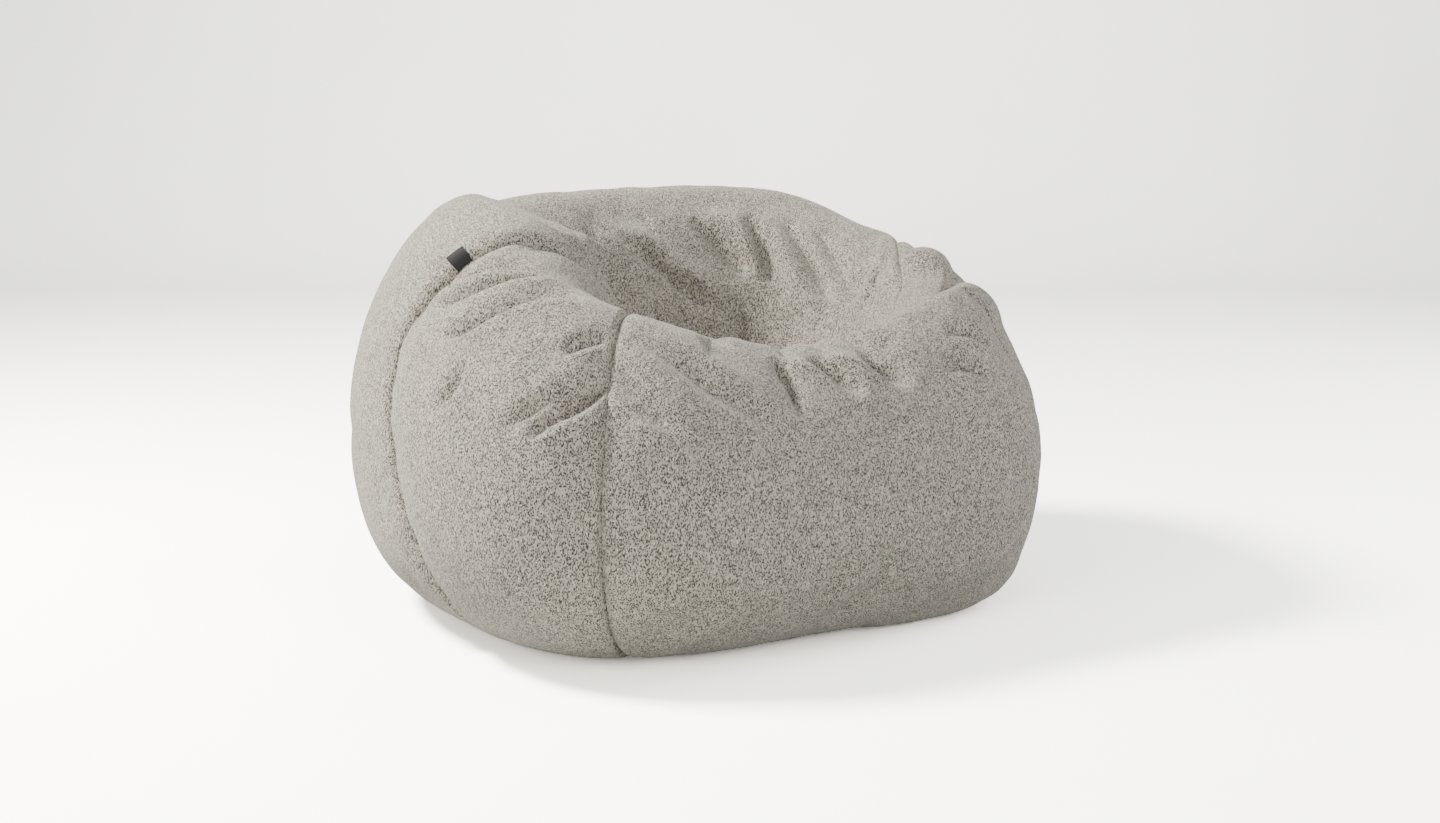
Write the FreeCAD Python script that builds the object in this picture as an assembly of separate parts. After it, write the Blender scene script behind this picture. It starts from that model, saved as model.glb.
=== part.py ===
import FreeCAD, Part
import math
import os

# A large round bean bag chair. A sewn cloth cover of two wide panels and two narrow gussets goes
# from a base seam, over a thick rim, down into the seat hollow, where the four pieces meet at a
# crown patch. Inside lies a liner of the same pattern, full of foam beads. The cover and the liner
# each have a zip across the back.
# Millimetres and degrees. +Z is up, the chair faces -Y, and azimuths run from +X towards +Y.

# ---- Body shape ----
# One row per place round the bag: azimuth, plan radius, rim height, rim radius / plan radius.
STATIONS = [
    (-165, 590, 595, 0.66),
    (-140, 600, 550, 0.64),
    (-115, 515, 505, 0.62),
    (-90, 470, 490, 0.60),
    (-65, 505, 500, 0.62),
    (-40, 590, 545, 0.68),
    (-15, 580, 572, 0.74),
    (12, 555, 615, 0.76),
    (40, 570, 675, 0.70),
    (140, 595, 680, 0.70),
    (170, 590, 665, 0.70),
]
# The middle of the back is an exact circular arc in plan, so that the zips can run round it.
BACK_AZIMUTHS = (60, 75, 90, 105, 120)
BACK_REACH = 480
BACK_RADIUS = 1100
BACK_HEIGHT = 685
BACK_RIM_SHARE = 0.66

# The wall's section, base seam to crown seam. Each control point's radius is a share of the plan
# radius, a share of the rim radius and a fixed length; its height is a share of the rim height
# and a fixed length. Then come the share of the hollow's shift that it takes, and the degrees by
# which the back-left, back-right and front-left seams wander there from their azimuths.
PROFILE = [
    (0.58, 0.00, 0, 0.00, 0, 0.0, 12.0, 0.0, 0.0),
    (0.80, 0.00, 0, 0.00, 0, 0.0, 12.0, 0.0, 0.0),
    (0.97, 0.00, 0, 0.10, 0, 0.0, 10.5, 0.0, 0.0),
    (1.045, 0.00, 0, 0.40, 0, 0.0, -0.5, 0.0, 0.0),
    (1.00, 0.00, 0, 0.72, 0, 0.0, -9.0, 0.0, 0.0),
    (0.45, 0.55, 0, 0.99, 0, 0.0, -3.0, 2.0, -2.0),
    (0.00, 1.00, 0, 1.06, 0, 0.2, 1.0, -2.0, -4.5),
    (0.00, 0.80, 0, 0.96, 0, 0.5, 0.0, -24.0, -8.0),
    (0.00, 0.62, 0, 0.40, 200, 0.8, 0.0, -28.0, -8.0),
    (0.00, 0.45, 0, 0.00, 310, 1.0, 0.0, -24.0, -6.0),
    (0.00, 0.28, 0, 0.00, 300, 1.0, 0.0, -20.0, -4.0),
    (0.00, 0.00, 50, 0.00, 300, 1.0, 0.0, -20.0, -4.0),
]
LEFT_TURN_REACH = 42
RIGHT_TURN_REACH = 55
FRONT_TURN_REACH = 40
# The rim is broadest left of the backrest. For each row of control points there, how far it leans
# in over the hollow, and how far it rises.
SHOULDER = {6: (35, 0), 7: (85, 26), 8: (80, 60), 9: (30, 20)}
SHOULDER_AZIMUTH = 168
SHOULDER_REACH = 50
HOLLOW_SHIFT = (30, -50)
PLAN_SHIFT = (11, -5)
POLES_ROUND = 48
POLE_STEP = 360 / POLES_ROUND
SPLINE_SWEEPS = 60
LAST_ROW = len(PROFILE) - 1
PROFILE_SPANS = len(PROFILE) - 3

# ---- Layers, as depths under the cover's outer face ----
COVER_THICKNESS = 3.0
SEAM_TAPE_DEPTH = 3.5
SEAM_TAPE_THICKNESS = 0.8
BASE_TAPE_DEPTH = 5.0
LINER_DEPTH = 8.6
LINER_THICKNESS = 1.5
BEADS_DEPTH = 10.9

# ---- Panels: the azimuths of the four wall seams ----
BACK_LEFT_SEAM = 184
FRONT_LEFT_SEAM = 226
FRONT_RIGHT_SEAM = 324
BACK_RIGHT_SEAM = 365
SEAM_GAP_ANGLE = 0.05
SEAM_GAP = 0.6
SEAM_TAPE_HALF_ANGLE = 0.6
BASE_TAPE_HALF_WIDTH = 6.0

# ---- Zips ----
# Across: along the bag's section, up positive. Out: square to the cloth, outward positive.
COVER_ZIP_HEIGHT = 112
LINER_ZIP_HEIGHT = 168
ZIP_HALF_ANGLE = 13.0
ZIP_WINDOW_HALF = 8.0
ZIP_WINDOW_END = 4.0
ZIP_WINDOW_OUT = (-6.0, 12.0)
TAPE_INNER_EDGE = 0.7
TAPE_OUTER_EDGE = 12.5
TAPE_OUT = (-5.2, -4.2)
TAPE_END = 14.0
COIL_INNER_EDGE = 0.7
COIL_OUTER_EDGE = 4.0
COIL_OUT = (-4.0, -1.6)
STOP_GAP = 0.3
STOP_LENGTH = 3.0
STOP_HALF_WIDTH = 4.4
STOP_OUT = (-4.0, -1.2)
SLIDER_HALF_LENGTH = 9.0
SLIDER_HALF_WIDTH = 6.2
SLIDER_TOP_OUT = (-1.2, 0.4)
SLIDER_BOTTOM_OUT = (-7.0, -5.7)
SLIDER_FLANGE_WIDTH = 1.4
SLIDER_FLANGE_DROP = 2.2
SLIDER_POST_HALF_WIDTH = 0.35
SLIDER_POST_LENGTH = 5.0
SLIDER_CLEARANCE = 1.0
BRIDGE_HALF_WIDTH = 1.5
BRIDGE_LEG = 1.8
BRIDGE_HALF_LENGTH = 7.0
BRIDGE_RISE = 3.9
BRIDGE_BAR = 1.1
LOCK_NUB_HALF = 2.5
LOCK_NUB_RISE = 0.8
PULL_PIN_RADIUS = 0.8
PULL_PIN_OUT = 1.8
PULL_ARM_WIDTH = 1.6
PULL_ARM_GAP = 2.4
PULL_PLATE_START = 9.0
PULL_PLATE_END = 32.0
PULL_HALF_THICKNESS = 0.8
PULL_EYE_RADIUS = 1.6
PULL_CORNER_RADIUS = 2.8
BEADS_GROOVE_HALF = 17.0
BEADS_GROOVE_OUT = (-8.8, 8.0)
BEADS_GROOVE_END = 22.0

# ---- Label: a folded loop of ribbon caught in the back-left seam ----
LABEL_PLACE = 4.2
LABEL_LENGTH = 32
LABEL_DROP = 25
LABEL_LEAF = 0.8
LABEL_FOLD_GAP = 0.6
LABEL_STAND_OFF = 1.6
LABEL_LEAN = 20
LABEL_FOLD_ROUNDING = 0.95

# ---- Working sizes ----
HALF_SPACE = 2000
PLACE_STEP = 0.01
PLACE_TOLERANCE = 1e-7
EDGE_TOLERANCE = 0.1


def all_stations():
    """The stations all round, with the back's taken from its arc."""
    centre = BACK_REACH - BACK_RADIUS
    rows = list(STATIONS)
    for azimuth in BACK_AZIMUTHS:
        turn = math.radians(azimuth)
        across = centre * math.cos(turn)
        reach = centre * math.sin(turn) + math.sqrt(BACK_RADIUS ** 2 - across ** 2)
        rows.append((azimuth, reach, BACK_HEIGHT, BACK_RIM_SHARE))
    return sorted(rows)


def closed_spline(angles, values):
    """A smooth closed curve of value against angle, as a function of the angle."""
    count = len(angles)
    bends = [0.0] * count
    for sweep in range(SPLINE_SWEEPS):
        for i in range(count):
            after = (i + 1) % count
            step_in = (angles[i] - angles[i - 1]) % 360
            step_out = (angles[after] - angles[i]) % 360
            slope_in = (values[i] - values[i - 1]) / step_in
            slope_out = (values[after] - values[i]) / step_out
            pull = step_in * bends[i - 1] + step_out * bends[after]
            bends[i] = (6 * (slope_out - slope_in) - pull) / (2 * (step_in + step_out))

    def value(angle):
        for i in range(count):
            after = (i + 1) % count
            step = (angles[after] - angles[i]) % 360
            past = (angle - angles[i]) % 360
            if past < step:
                break
        left = step - past
        curve = (bends[i] * left ** 3 + bends[after] * past ** 3) / (6 * step)
        start = (values[i] / step - bends[i] * step / 6) * left
        end = (values[after] / step - bends[after] * step / 6) * past
        return curve + start + end

    return value


def turn_share(azimuth, seam, reach):
    """How much of a seam's wander is felt at an azimuth: all at the seam, none beyond its reach."""
    away = abs((azimuth - seam + 180) % 360 - 180)
    return math.cos(min(away / reach, 1) * math.pi / 2) ** 2


def outer_poles():
    """Control points of the cover's outer face: rows up the section, columns round the bag."""
    rows = all_stations()
    angles = [row[0] for row in rows]
    plan_radius = closed_spline(angles, [row[1] for row in rows])
    rim_height = closed_spline(angles, [row[2] for row in rows])
    rim_share = closed_spline(angles, [row[3] for row in rows])
    grid = []
    for row, values in enumerate(PROFILE):
        plan, rim, length, rise, height, shift, left_turn, right_turn, front_turn = values
        lean, lift = SHOULDER.get(row, (0, 0))
        ring = []
        for j in range(POLES_ROUND):
            even = j * POLE_STEP
            azimuth = even + left_turn * turn_share(even, BACK_LEFT_SEAM, LEFT_TURN_REACH)
            azimuth += right_turn * turn_share(even, BACK_RIGHT_SEAM, RIGHT_TURN_REACH)
            azimuth += front_turn * turn_share(even, FRONT_LEFT_SEAM, FRONT_TURN_REACH)
            felt = turn_share(even, SHOULDER_AZIMUTH, SHOULDER_REACH)
            turn = math.radians(azimuth)
            radius = plan_radius(azimuth)
            reach = plan * radius + rim * rim_share(azimuth) * radius + length - lean * felt
            x = reach * math.cos(turn) + shift * HOLLOW_SHIFT[0] + PLAN_SHIFT[0]
            y = reach * math.sin(turn) + shift * HOLLOW_SHIFT[1] + PLAN_SHIFT[1]
            z = rise * rim_height(azimuth) + height + lift * felt
            ring.append(FreeCAD.Vector(x, y, z))
        grid.append(ring)
    return grid


OUTER_POLES = outer_poles()


def poles_at(depth):
    """The outer face's control points moved inward, square to the face, by a depth."""
    grid = []
    for i in range(LAST_ROW + 1):
        above = OUTER_POLES[min(i + 1, LAST_ROW)]
        below = OUTER_POLES[max(i - 1, 0)]
        ring = []
        for j in range(POLES_ROUND):
            along = above[j] - below[j]
            round_bag = OUTER_POLES[i][(j + 1) % POLES_ROUND] - OUTER_POLES[i][j - 1]
            inward = along.cross(round_bag).normalize()
            ring.append(OUTER_POLES[i][j] + inward * depth)
        grid.append(ring)
    return grid


def wall_surface(depth, first_column=0):
    """The wall at a depth, as one surface that closes on itself at a chosen column."""
    grid = []
    for ring in poles_at(depth):
        grid.append(ring[first_column:] + ring[:first_column])
    ends = [4] + [1] * (PROFILE_SPANS - 1) + [4]
    surface = Part.BSplineSurface()
    surface.buildFromPolesMultsKnots(
        grid,
        ends,
        [1] * (POLES_ROUND + 1),
        list(range(PROFILE_SPANS + 1)),
        list(range(POLES_ROUND + 1)),
        False,
        True,
        3,
        3,
    )
    return surface


def wall_point(depth, azimuth, place):
    """A point of the wall at an azimuth and a place up the section."""
    return wall_surface(depth).value(place, (azimuth / POLE_STEP - 1) % POLES_ROUND)


def strip_between(near, far):
    """The narrow face that joins two matching curves."""
    surface = Part.BSplineSurface()
    surface.buildFromPolesMultsKnots(
        [near.getPoles(), far.getPoles()],
        [2, 2],
        near.getMultiplicities(),
        [0, 1],
        near.getKnots(),
        False,
        False,
        1,
        near.Degree,
    )
    return surface.toShape()


def closed_solid(faces):
    """One solid from faces that close on each other."""
    shape = Part.makeCompound(faces)
    shape.sewShape()
    solid = Part.makeSolid(shape.Shells[0])
    if solid.Volume < 0:
        solid.reverse()
    return solid


def wall_panel(outer_depth, inner_depth, first_angle, last_angle):
    """A sheet of cloth between two depths and two azimuths, from base seam to crown seam."""
    middle = (first_angle + last_angle) / 2
    column = round((middle + 180) / POLE_STEP) % POLES_ROUND
    start = (first_angle / POLE_STEP - 1 - column) % POLES_ROUND
    end = start + (last_angle - first_angle) / POLE_STEP
    surfaces = [wall_surface(depth, column) for depth in (outer_depth, inner_depth)]
    faces = [surface.toShape(0, PROFILE_SPANS, start, end) for surface in surfaces]
    for side in (start, end):
        faces.append(strip_between(*[surface.vIso(side) for surface in surfaces]))
    for edge in (0, PROFILE_SPANS):
        curves = [surface.uIso(edge) for surface in surfaces]
        for curve in curves:
            curve.segment(start, end)
        faces.append(strip_between(*curves))
    return closed_solid(faces)


def ring_curve(depth, row, growth):
    """The closed edge of the wall at its base or crown, grown outward in its own plane."""
    ring = poles_at(depth)[row]
    points = []
    for j in range(POLES_ROUND):
        along = ring[(j + 1) % POLES_ROUND] - ring[j - 1]
        outward = FreeCAD.Vector(along.y, -along.x, 0).normalize()
        points.append(ring[j] + outward * growth)
    curve = Part.BSplineCurve()
    knots = list(range(POLES_ROUND + 1))
    curve.buildFromPolesMultsKnots(points, [1] * (POLES_ROUND + 1), knots, True, 3)
    return curve.toShape()


def flat_disc(row, growth, bottom, thickness):
    """A flat piece of cloth inside the base or crown seam."""
    edge = ring_curve(0, row, growth)
    face = Part.Face(Part.Wire([edge]))
    face.translate(FreeCAD.Vector(0, 0, bottom - edge.BoundBox.ZMin))
    return face.extrude(FreeCAD.Vector(0, 0, thickness))


def flat_ring(row, inner_growth, outer_growth, bottom, thickness):
    """A flat closed ribbon that follows the base seam."""
    outside = flat_disc(row, outer_growth, bottom, thickness)
    inside = flat_disc(row, inner_growth, bottom, thickness)
    return outside.cut(inside)


def section_frame(depth, height):
    """Where a zip lies on the back: its middle point, its directions and the centre of its arc."""
    low = 0.0
    high = PROFILE_SPANS / 2
    surface = wall_surface(depth)
    column = 90 / POLE_STEP - 1
    while high - low > PLACE_TOLERANCE:
        place = (low + high) / 2
        if surface.value(place, column).z < height:
            low = place
        else:
            high = place
    point = surface.value(place, column)
    ahead = surface.value(place + PLACE_STEP, column)
    up = (FreeCAD.Vector(0, ahead.y, ahead.z) - FreeCAD.Vector(0, point.y, point.z)).normalize()
    out = FreeCAD.Vector(0, up.z, -up.y)
    share = (point.y - PLAN_SHIFT[1]) / BACK_REACH
    centre_y = point.y - share * BACK_RADIUS
    return {
        "point": FreeCAD.Vector(PLAN_SHIFT[0], point.y, point.z),
        "up": up,
        "out": out,
        "centre": FreeCAD.Vector(PLAN_SHIFT[0], centre_y, 0),
        "radius": share * BACK_RADIUS,
    }


def placed(frame, along, across, out):
    """A point given along, across and out of a zip, at the zip's middle."""
    sideways = FreeCAD.Vector(along, 0, 0)
    return frame["point"] + sideways + frame["up"] * across + frame["out"] * out


def turned(frame, shape, angle):
    """A shape moved along the zip's arc by an angle."""
    moved = shape.copy()
    moved.rotate(frame["centre"], FreeCAD.Vector(0, 0, 1), angle)
    return moved


def arc_angle(frame, length):
    """The angle that a length takes along a zip's arc."""
    return math.degrees(length / frame["radius"])


def arc_bar(frame, across, out, first_angle, last_angle):
    """A bar of four-sided section that follows a zip's arc between two angles."""
    corners = [(across[0], out[0]), (across[1], out[0]), (across[1], out[1]), (across[0], out[1])]
    points = [placed(frame, 0, a, o) for a, o in corners]
    section = Part.Face(Part.makePolygon(points + points[:1]))
    start = turned(frame, section, first_angle)
    return start.revolve(frame["centre"], FreeCAD.Vector(0, 0, 1), last_angle - first_angle)


def zip_block(frame, along, across, out):
    """A straight-sided block at the zip's middle, given by its three pairs of limits."""
    corners = [
        placed(frame, along[0], across[0], out[0]),
        placed(frame, along[1], across[0], out[0]),
        placed(frame, along[1], across[1], out[0]),
        placed(frame, along[0], across[1], out[0]),
    ]
    face = Part.Face(Part.makePolygon(corners + corners[:1]))
    return face.extrude(frame["out"] * (out[1] - out[0]))


def zip_window(frame):
    """The space cut through the cloth in front of a zip."""
    end = ZIP_HALF_ANGLE + arc_angle(frame, STOP_LENGTH + ZIP_WINDOW_END)
    across = (-ZIP_WINDOW_HALF, ZIP_WINDOW_HALF)
    return arc_bar(frame, across, ZIP_WINDOW_OUT, -end, end)


def zip_tape(frame, side):
    """One woven tape of a zip; side is 1 for the upper and -1 for the lower."""
    end = ZIP_HALF_ANGLE + arc_angle(frame, TAPE_END)
    across = (side * TAPE_INNER_EDGE, side * TAPE_OUTER_EDGE)
    return arc_bar(frame, across, TAPE_OUT, -end, end)


def zip_coil(frame, side):
    """The outer shape of one tape's row of coil teeth."""
    across = (side * COIL_INNER_EDGE, side * COIL_OUTER_EDGE)
    return arc_bar(frame, across, COIL_OUT, -ZIP_HALF_ANGLE, ZIP_HALF_ANGLE)


def zip_stops(frame):
    """The two crimped stops, one past each end of the coils."""
    near = ZIP_HALF_ANGLE + arc_angle(frame, STOP_GAP)
    far = near + arc_angle(frame, STOP_LENGTH)
    across = (-STOP_HALF_WIDTH, STOP_HALF_WIDTH)
    first = arc_bar(frame, across, STOP_OUT, near, far)
    last = arc_bar(frame, across, STOP_OUT, -far, -near)
    return Part.makeCompound([first, last])


def slider_plates(frame):
    """A slider's two plates, its side flanges and the post between the coils."""
    length = (-SLIDER_HALF_LENGTH, SLIDER_HALF_LENGTH)
    width = (-SLIDER_HALF_WIDTH, SLIDER_HALF_WIDTH)
    body = zip_block(frame, length, width, SLIDER_TOP_OUT)
    body = body.fuse(zip_block(frame, length, width, SLIDER_BOTTOM_OUT))
    flange_out = (SLIDER_TOP_OUT[0] - SLIDER_FLANGE_DROP, SLIDER_TOP_OUT[0])
    for side in (-1, 1):
        across = (side * (SLIDER_HALF_WIDTH - SLIDER_FLANGE_WIDTH), side * SLIDER_HALF_WIDTH)
        body = body.fuse(zip_block(frame, length, sorted(across), flange_out))
    post_along = (SLIDER_HALF_LENGTH - SLIDER_POST_LENGTH, SLIDER_HALF_LENGTH)
    post_across = (-SLIDER_POST_HALF_WIDTH, SLIDER_POST_HALF_WIDTH)
    post_out = (SLIDER_BOTTOM_OUT[1], SLIDER_TOP_OUT[0])
    return body.fuse(zip_block(frame, post_along, post_across, post_out))


def slider_bridge(frame):
    """The arch on the slider that holds the pull tab."""
    base = SLIDER_TOP_OUT[1]
    width = (-BRIDGE_HALF_WIDTH, BRIDGE_HALF_WIDTH)
    length = (-BRIDGE_HALF_LENGTH, BRIDGE_HALF_LENGTH)
    bar = zip_block(frame, length, width, (base + BRIDGE_RISE - BRIDGE_BAR, base + BRIDGE_RISE))
    for side in (-1, 1):
        along = (side * (BRIDGE_HALF_LENGTH - BRIDGE_LEG), side * BRIDGE_HALF_LENGTH)
        bar = bar.fuse(zip_block(frame, sorted(along), width, (base, base + BRIDGE_RISE)))
    return bar


def rest_angle(frame):
    """The closed end of a zip, where its slider rests."""
    return ZIP_HALF_ANGLE - arc_angle(frame, SLIDER_HALF_LENGTH + SLIDER_CLEARANCE)


def cover_slider(frame):
    """The cover zip's slider, with its bridge, at the closed end."""
    body = slider_plates(frame).fuse(slider_bridge(frame)).removeSplitter()
    return turned(frame, body, rest_angle(frame))


def liner_slider(frame):
    """The liner zip's child-resistant slider: a lock nub and no pull tab."""
    half = (-LOCK_NUB_HALF, LOCK_NUB_HALF)
    top = (SLIDER_TOP_OUT[1], SLIDER_TOP_OUT[1] + LOCK_NUB_RISE)
    body = slider_plates(frame).fuse(zip_block(frame, half, half, top)).removeSplitter()
    return turned(frame, body, rest_angle(frame))


def pull_pin(frame):
    """Where the pull tab turns on the slider's bridge, and the direction of its pin."""
    centre = turned(frame, Part.Vertex(placed(frame, 0, 0, PULL_PIN_OUT)), rest_angle(frame))
    tip = turned(frame, Part.Vertex(placed(frame, 0, 1, PULL_PIN_OUT)), rest_angle(frame))
    return centre.Point, tip.Point - centre.Point


def zip_pull(frame):
    """The pull tab: a pin through the bridge, two arms and a plate with an eye."""
    arm_edge = PULL_ARM_GAP + PULL_ARM_WIDTH
    pin_start = placed(frame, 0, -arm_edge, PULL_PIN_OUT)
    tab = Part.makeCylinder(PULL_PIN_RADIUS, 2 * arm_edge, pin_start, frame["up"])
    out = (PULL_PIN_OUT - PULL_HALF_THICKNESS, PULL_PIN_OUT + PULL_HALF_THICKNESS)
    for side in (-1, 1):
        across = sorted((side * PULL_ARM_GAP, side * arm_edge))
        tab = tab.fuse(zip_block(frame, (0, PULL_PLATE_START + 1), across, out))
    plate = zip_block(frame, (PULL_PLATE_START, PULL_PLATE_END), (-arm_edge, arm_edge), out)
    corners = [edge for edge in plate.Edges if edge_is_square(edge, frame)]
    plate = plate.makeFillet(PULL_CORNER_RADIUS, corners)
    tab = tab.fuse(plate)
    eye_start = placed(frame, PULL_PLATE_END - arm_edge, 0, out[0] - PULL_HALF_THICKNESS)
    eye_length = 4 * PULL_HALF_THICKNESS
    tab = tab.cut(Part.makeCylinder(PULL_EYE_RADIUS, eye_length, eye_start, frame["out"]))
    return turned(frame, tab.removeSplitter(), rest_angle(frame))


def edge_is_square(edge, frame):
    """True for a plate's free corner edges, which run square to the cloth at its far end."""
    ends = [vertex.Point - frame["point"] for vertex in edge.Vertexes]
    upright = abs((ends[1] - ends[0]).dot(frame["out"])) > PULL_HALF_THICKNESS
    return upright and ends[0].x > PULL_PLATE_END - 1


def write_cover_panels(zip_frame):
    """The cover: four wall pieces, the strip under the zip, the base and the crown patch."""
    gap = SEAM_GAP_ANGLE
    seams = [BACK_LEFT_SEAM, FRONT_LEFT_SEAM, FRONT_RIGHT_SEAM, BACK_RIGHT_SEAM]
    names = ["left_gusset", "front_panel", "right_gusset"]
    for name, first, last in zip(names, seams, seams[1:]):
        write(name, wall_panel(0, COVER_THICKNESS, first + gap, last - gap))
    back = wall_panel(0, COVER_THICKNESS, BACK_RIGHT_SEAM - 360 + gap, BACK_LEFT_SEAM - gap)
    back = back.cut(zip_window(zip_frame))
    size = HALF_SPACE
    above = FreeCAD.Vector(-size / 2, -size / 2, COVER_ZIP_HEIGHT + SEAM_GAP / 2)
    below = FreeCAD.Vector(-size / 2, -size / 2, COVER_ZIP_HEIGHT - SEAM_GAP / 2 - size)
    write("back_panel", back.common(Part.makeBox(size, size, size, above)))
    write("back_hem_panel", back.common(Part.makeBox(size, size, size, below)))
    write("base_panel", flat_disc(0, -SEAM_GAP, 0, COVER_THICKNESS))
    crown_bottom = OUTER_POLES[LAST_ROW][0].z - COVER_THICKNESS
    write("crown_patch", flat_disc(LAST_ROW, -SEAM_GAP, crown_bottom, COVER_THICKNESS))


def write_seam_tapes():
    """Twill tapes sewn over the seam allowances inside the cover."""
    near = SEAM_TAPE_DEPTH
    far = SEAM_TAPE_DEPTH + SEAM_TAPE_THICKNESS
    seams = {
        "back_left": BACK_LEFT_SEAM,
        "front_left": FRONT_LEFT_SEAM,
        "front_right": FRONT_RIGHT_SEAM,
        "back_right": BACK_RIGHT_SEAM,
    }
    half = SEAM_TAPE_HALF_ANGLE
    for name, azimuth in seams.items():
        write(f"seam_tape_{name}", wall_panel(near, far, azimuth - half, azimuth + half))
    half = BASE_TAPE_HALF_WIDTH
    write("seam_tape_base", flat_ring(0, -half, half, BASE_TAPE_DEPTH, SEAM_TAPE_THICKNESS))


def write_liner(zip_frame):
    """The liner: four gores, a base and a crown of thin cloth, with a window for its zip."""
    near = LINER_DEPTH
    far = LINER_DEPTH + LINER_THICKNESS
    gap = SEAM_GAP_ANGLE
    gores = {
        "liner_left_gore": (BACK_LEFT_SEAM, FRONT_LEFT_SEAM),
        "liner_front_gore": (FRONT_LEFT_SEAM, FRONT_RIGHT_SEAM),
        "liner_right_gore": (FRONT_RIGHT_SEAM, BACK_RIGHT_SEAM),
    }
    for name, (first, last) in gores.items():
        write(name, wall_panel(near, far, first + gap, last - gap))
    back = wall_panel(near, far, BACK_RIGHT_SEAM - 360 + gap, BACK_LEFT_SEAM - gap)
    write("liner_back_gore", back.cut(zip_window(zip_frame)))
    write("liner_base", flat_disc(0, -SEAM_GAP, near, LINER_THICKNESS))
    crown_bottom = OUTER_POLES[LAST_ROW][0].z - far
    write("liner_crown", flat_disc(LAST_ROW, -SEAM_GAP, crown_bottom, LINER_THICKNESS))


def write_zip(prefix, frame):
    """A zip's tapes, coils and stops."""
    write(f"{prefix}_tape_upper", zip_tape(frame, 1))
    write(f"{prefix}_tape_lower", zip_tape(frame, -1))
    write(f"{prefix}_coil_upper", zip_coil(frame, 1))
    write(f"{prefix}_coil_lower", zip_coil(frame, -1))
    write(f"{prefix}_stops", zip_stops(frame))


def bead_fill(zip_frame):
    """The foam beads as one body, with a groove that the liner's zip lies in."""
    wall = wall_surface(BEADS_DEPTH).toShape()
    base = Part.Face(Part.Wire([ring_curve(BEADS_DEPTH, 0, 0)]))
    crown = Part.Face(Part.Wire([ring_curve(BEADS_DEPTH, LAST_ROW, 0)]))
    beads = closed_solid([wall, base, crown])
    end = ZIP_HALF_ANGLE + arc_angle(zip_frame, BEADS_GROOVE_END)
    across = (-BEADS_GROOVE_HALF, BEADS_GROOVE_HALF)
    return beads.cut(arc_bar(zip_frame, across, BEADS_GROOVE_OUT, -end, end))


def woven_label():
    """A plain ribbon folded in two, its cut ends held by the seam and its fold standing out."""
    middle = wall_point(0, BACK_LEFT_SEAM, LABEL_PLACE)
    ahead = wall_point(0, BACK_LEFT_SEAM, LABEL_PLACE + PLACE_STEP)
    beside = wall_point(0, BACK_LEFT_SEAM - 1, LABEL_PLACE)
    along = (ahead - middle).normalize()
    upright = along.cross(beside - middle).normalize()
    towards_back = upright.cross(along)
    lean = math.radians(LABEL_LEAN)
    drop = towards_back * math.cos(lean) + upright * math.sin(lean)
    across = drop.cross(along)
    half_thickness = LABEL_LEAF + LABEL_FOLD_GAP / 2
    fold = Part.makeBox(LABEL_LENGTH, 2 * half_thickness, LABEL_DROP)
    fold.translate(FreeCAD.Vector(-LABEL_LENGTH / 2, -half_thickness, 0))
    end_edges = [edge for edge in fold.Edges if edge.BoundBox.ZMin > LABEL_DROP - EDGE_TOLERANCE]
    fold_edges = []
    for edge in end_edges:
        if edge.BoundBox.XLength > LABEL_LENGTH - EDGE_TOLERANCE:
            fold_edges.append(edge)
    fold = fold.makeFillet(half_thickness * LABEL_FOLD_ROUNDING, fold_edges)
    slit = Part.makeBox(LABEL_LENGTH + 2, LABEL_FOLD_GAP, LABEL_DROP - 2 * LABEL_LEAF)
    slit.translate(FreeCAD.Vector(-LABEL_LENGTH / 2 - 1, -LABEL_FOLD_GAP / 2, -0.01))
    fold = fold.cut(slit)
    root = middle + upright * LABEL_STAND_OFF
    fold.Placement = FreeCAD.Placement(root, FreeCAD.Rotation(along, across, drop, "ZXY"))
    return fold


def write(name, shape):
    """Save one node's solids and report them."""
    solids = shape.Solids
    if not solids or not shape.isValid():
        raise ValueError(f"{name} isn't a valid solid")
    kept = solids[0] if len(solids) == 1 else Part.makeCompound(solids)
    kept.exportStep(f"parts/{name}.step")
    box = kept.BoundBox
    print(f"{name}: {len(solids)} solid, {kept.Volume / 1000:.2f} cm3, z {box.ZMin:.1f} to {box.ZMax:.1f}")


def main():
    os.makedirs("parts", exist_ok=True)
    cover_zip = section_frame(0, COVER_ZIP_HEIGHT)
    liner_zip = section_frame(LINER_DEPTH, LINER_ZIP_HEIGHT)
    write_cover_panels(cover_zip)
    write_seam_tapes()
    write_zip("zip", cover_zip)
    write("zip_slider", cover_slider(cover_zip))
    write("zip_pull", zip_pull(cover_zip))
    write("woven_label", woven_label())
    write_liner(liner_zip)
    write_zip("liner_zip", liner_zip)
    write("liner_zip_slider", liner_slider(liner_zip))
    write("bead_fill", bead_fill(liner_zip))
    pin, pin_axis = pull_pin(cover_zip)
    for name, frame in (("cover", cover_zip), ("liner", liner_zip)):
        travel = 2 * rest_angle(frame)
        print(name, "zip centre", frame["centre"], "radius", frame["radius"], "travel", travel)
    print("pull pin", pin, "axis", pin_axis)


main()
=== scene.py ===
import bpy
import math
import numpy as np
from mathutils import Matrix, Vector, noise


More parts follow.
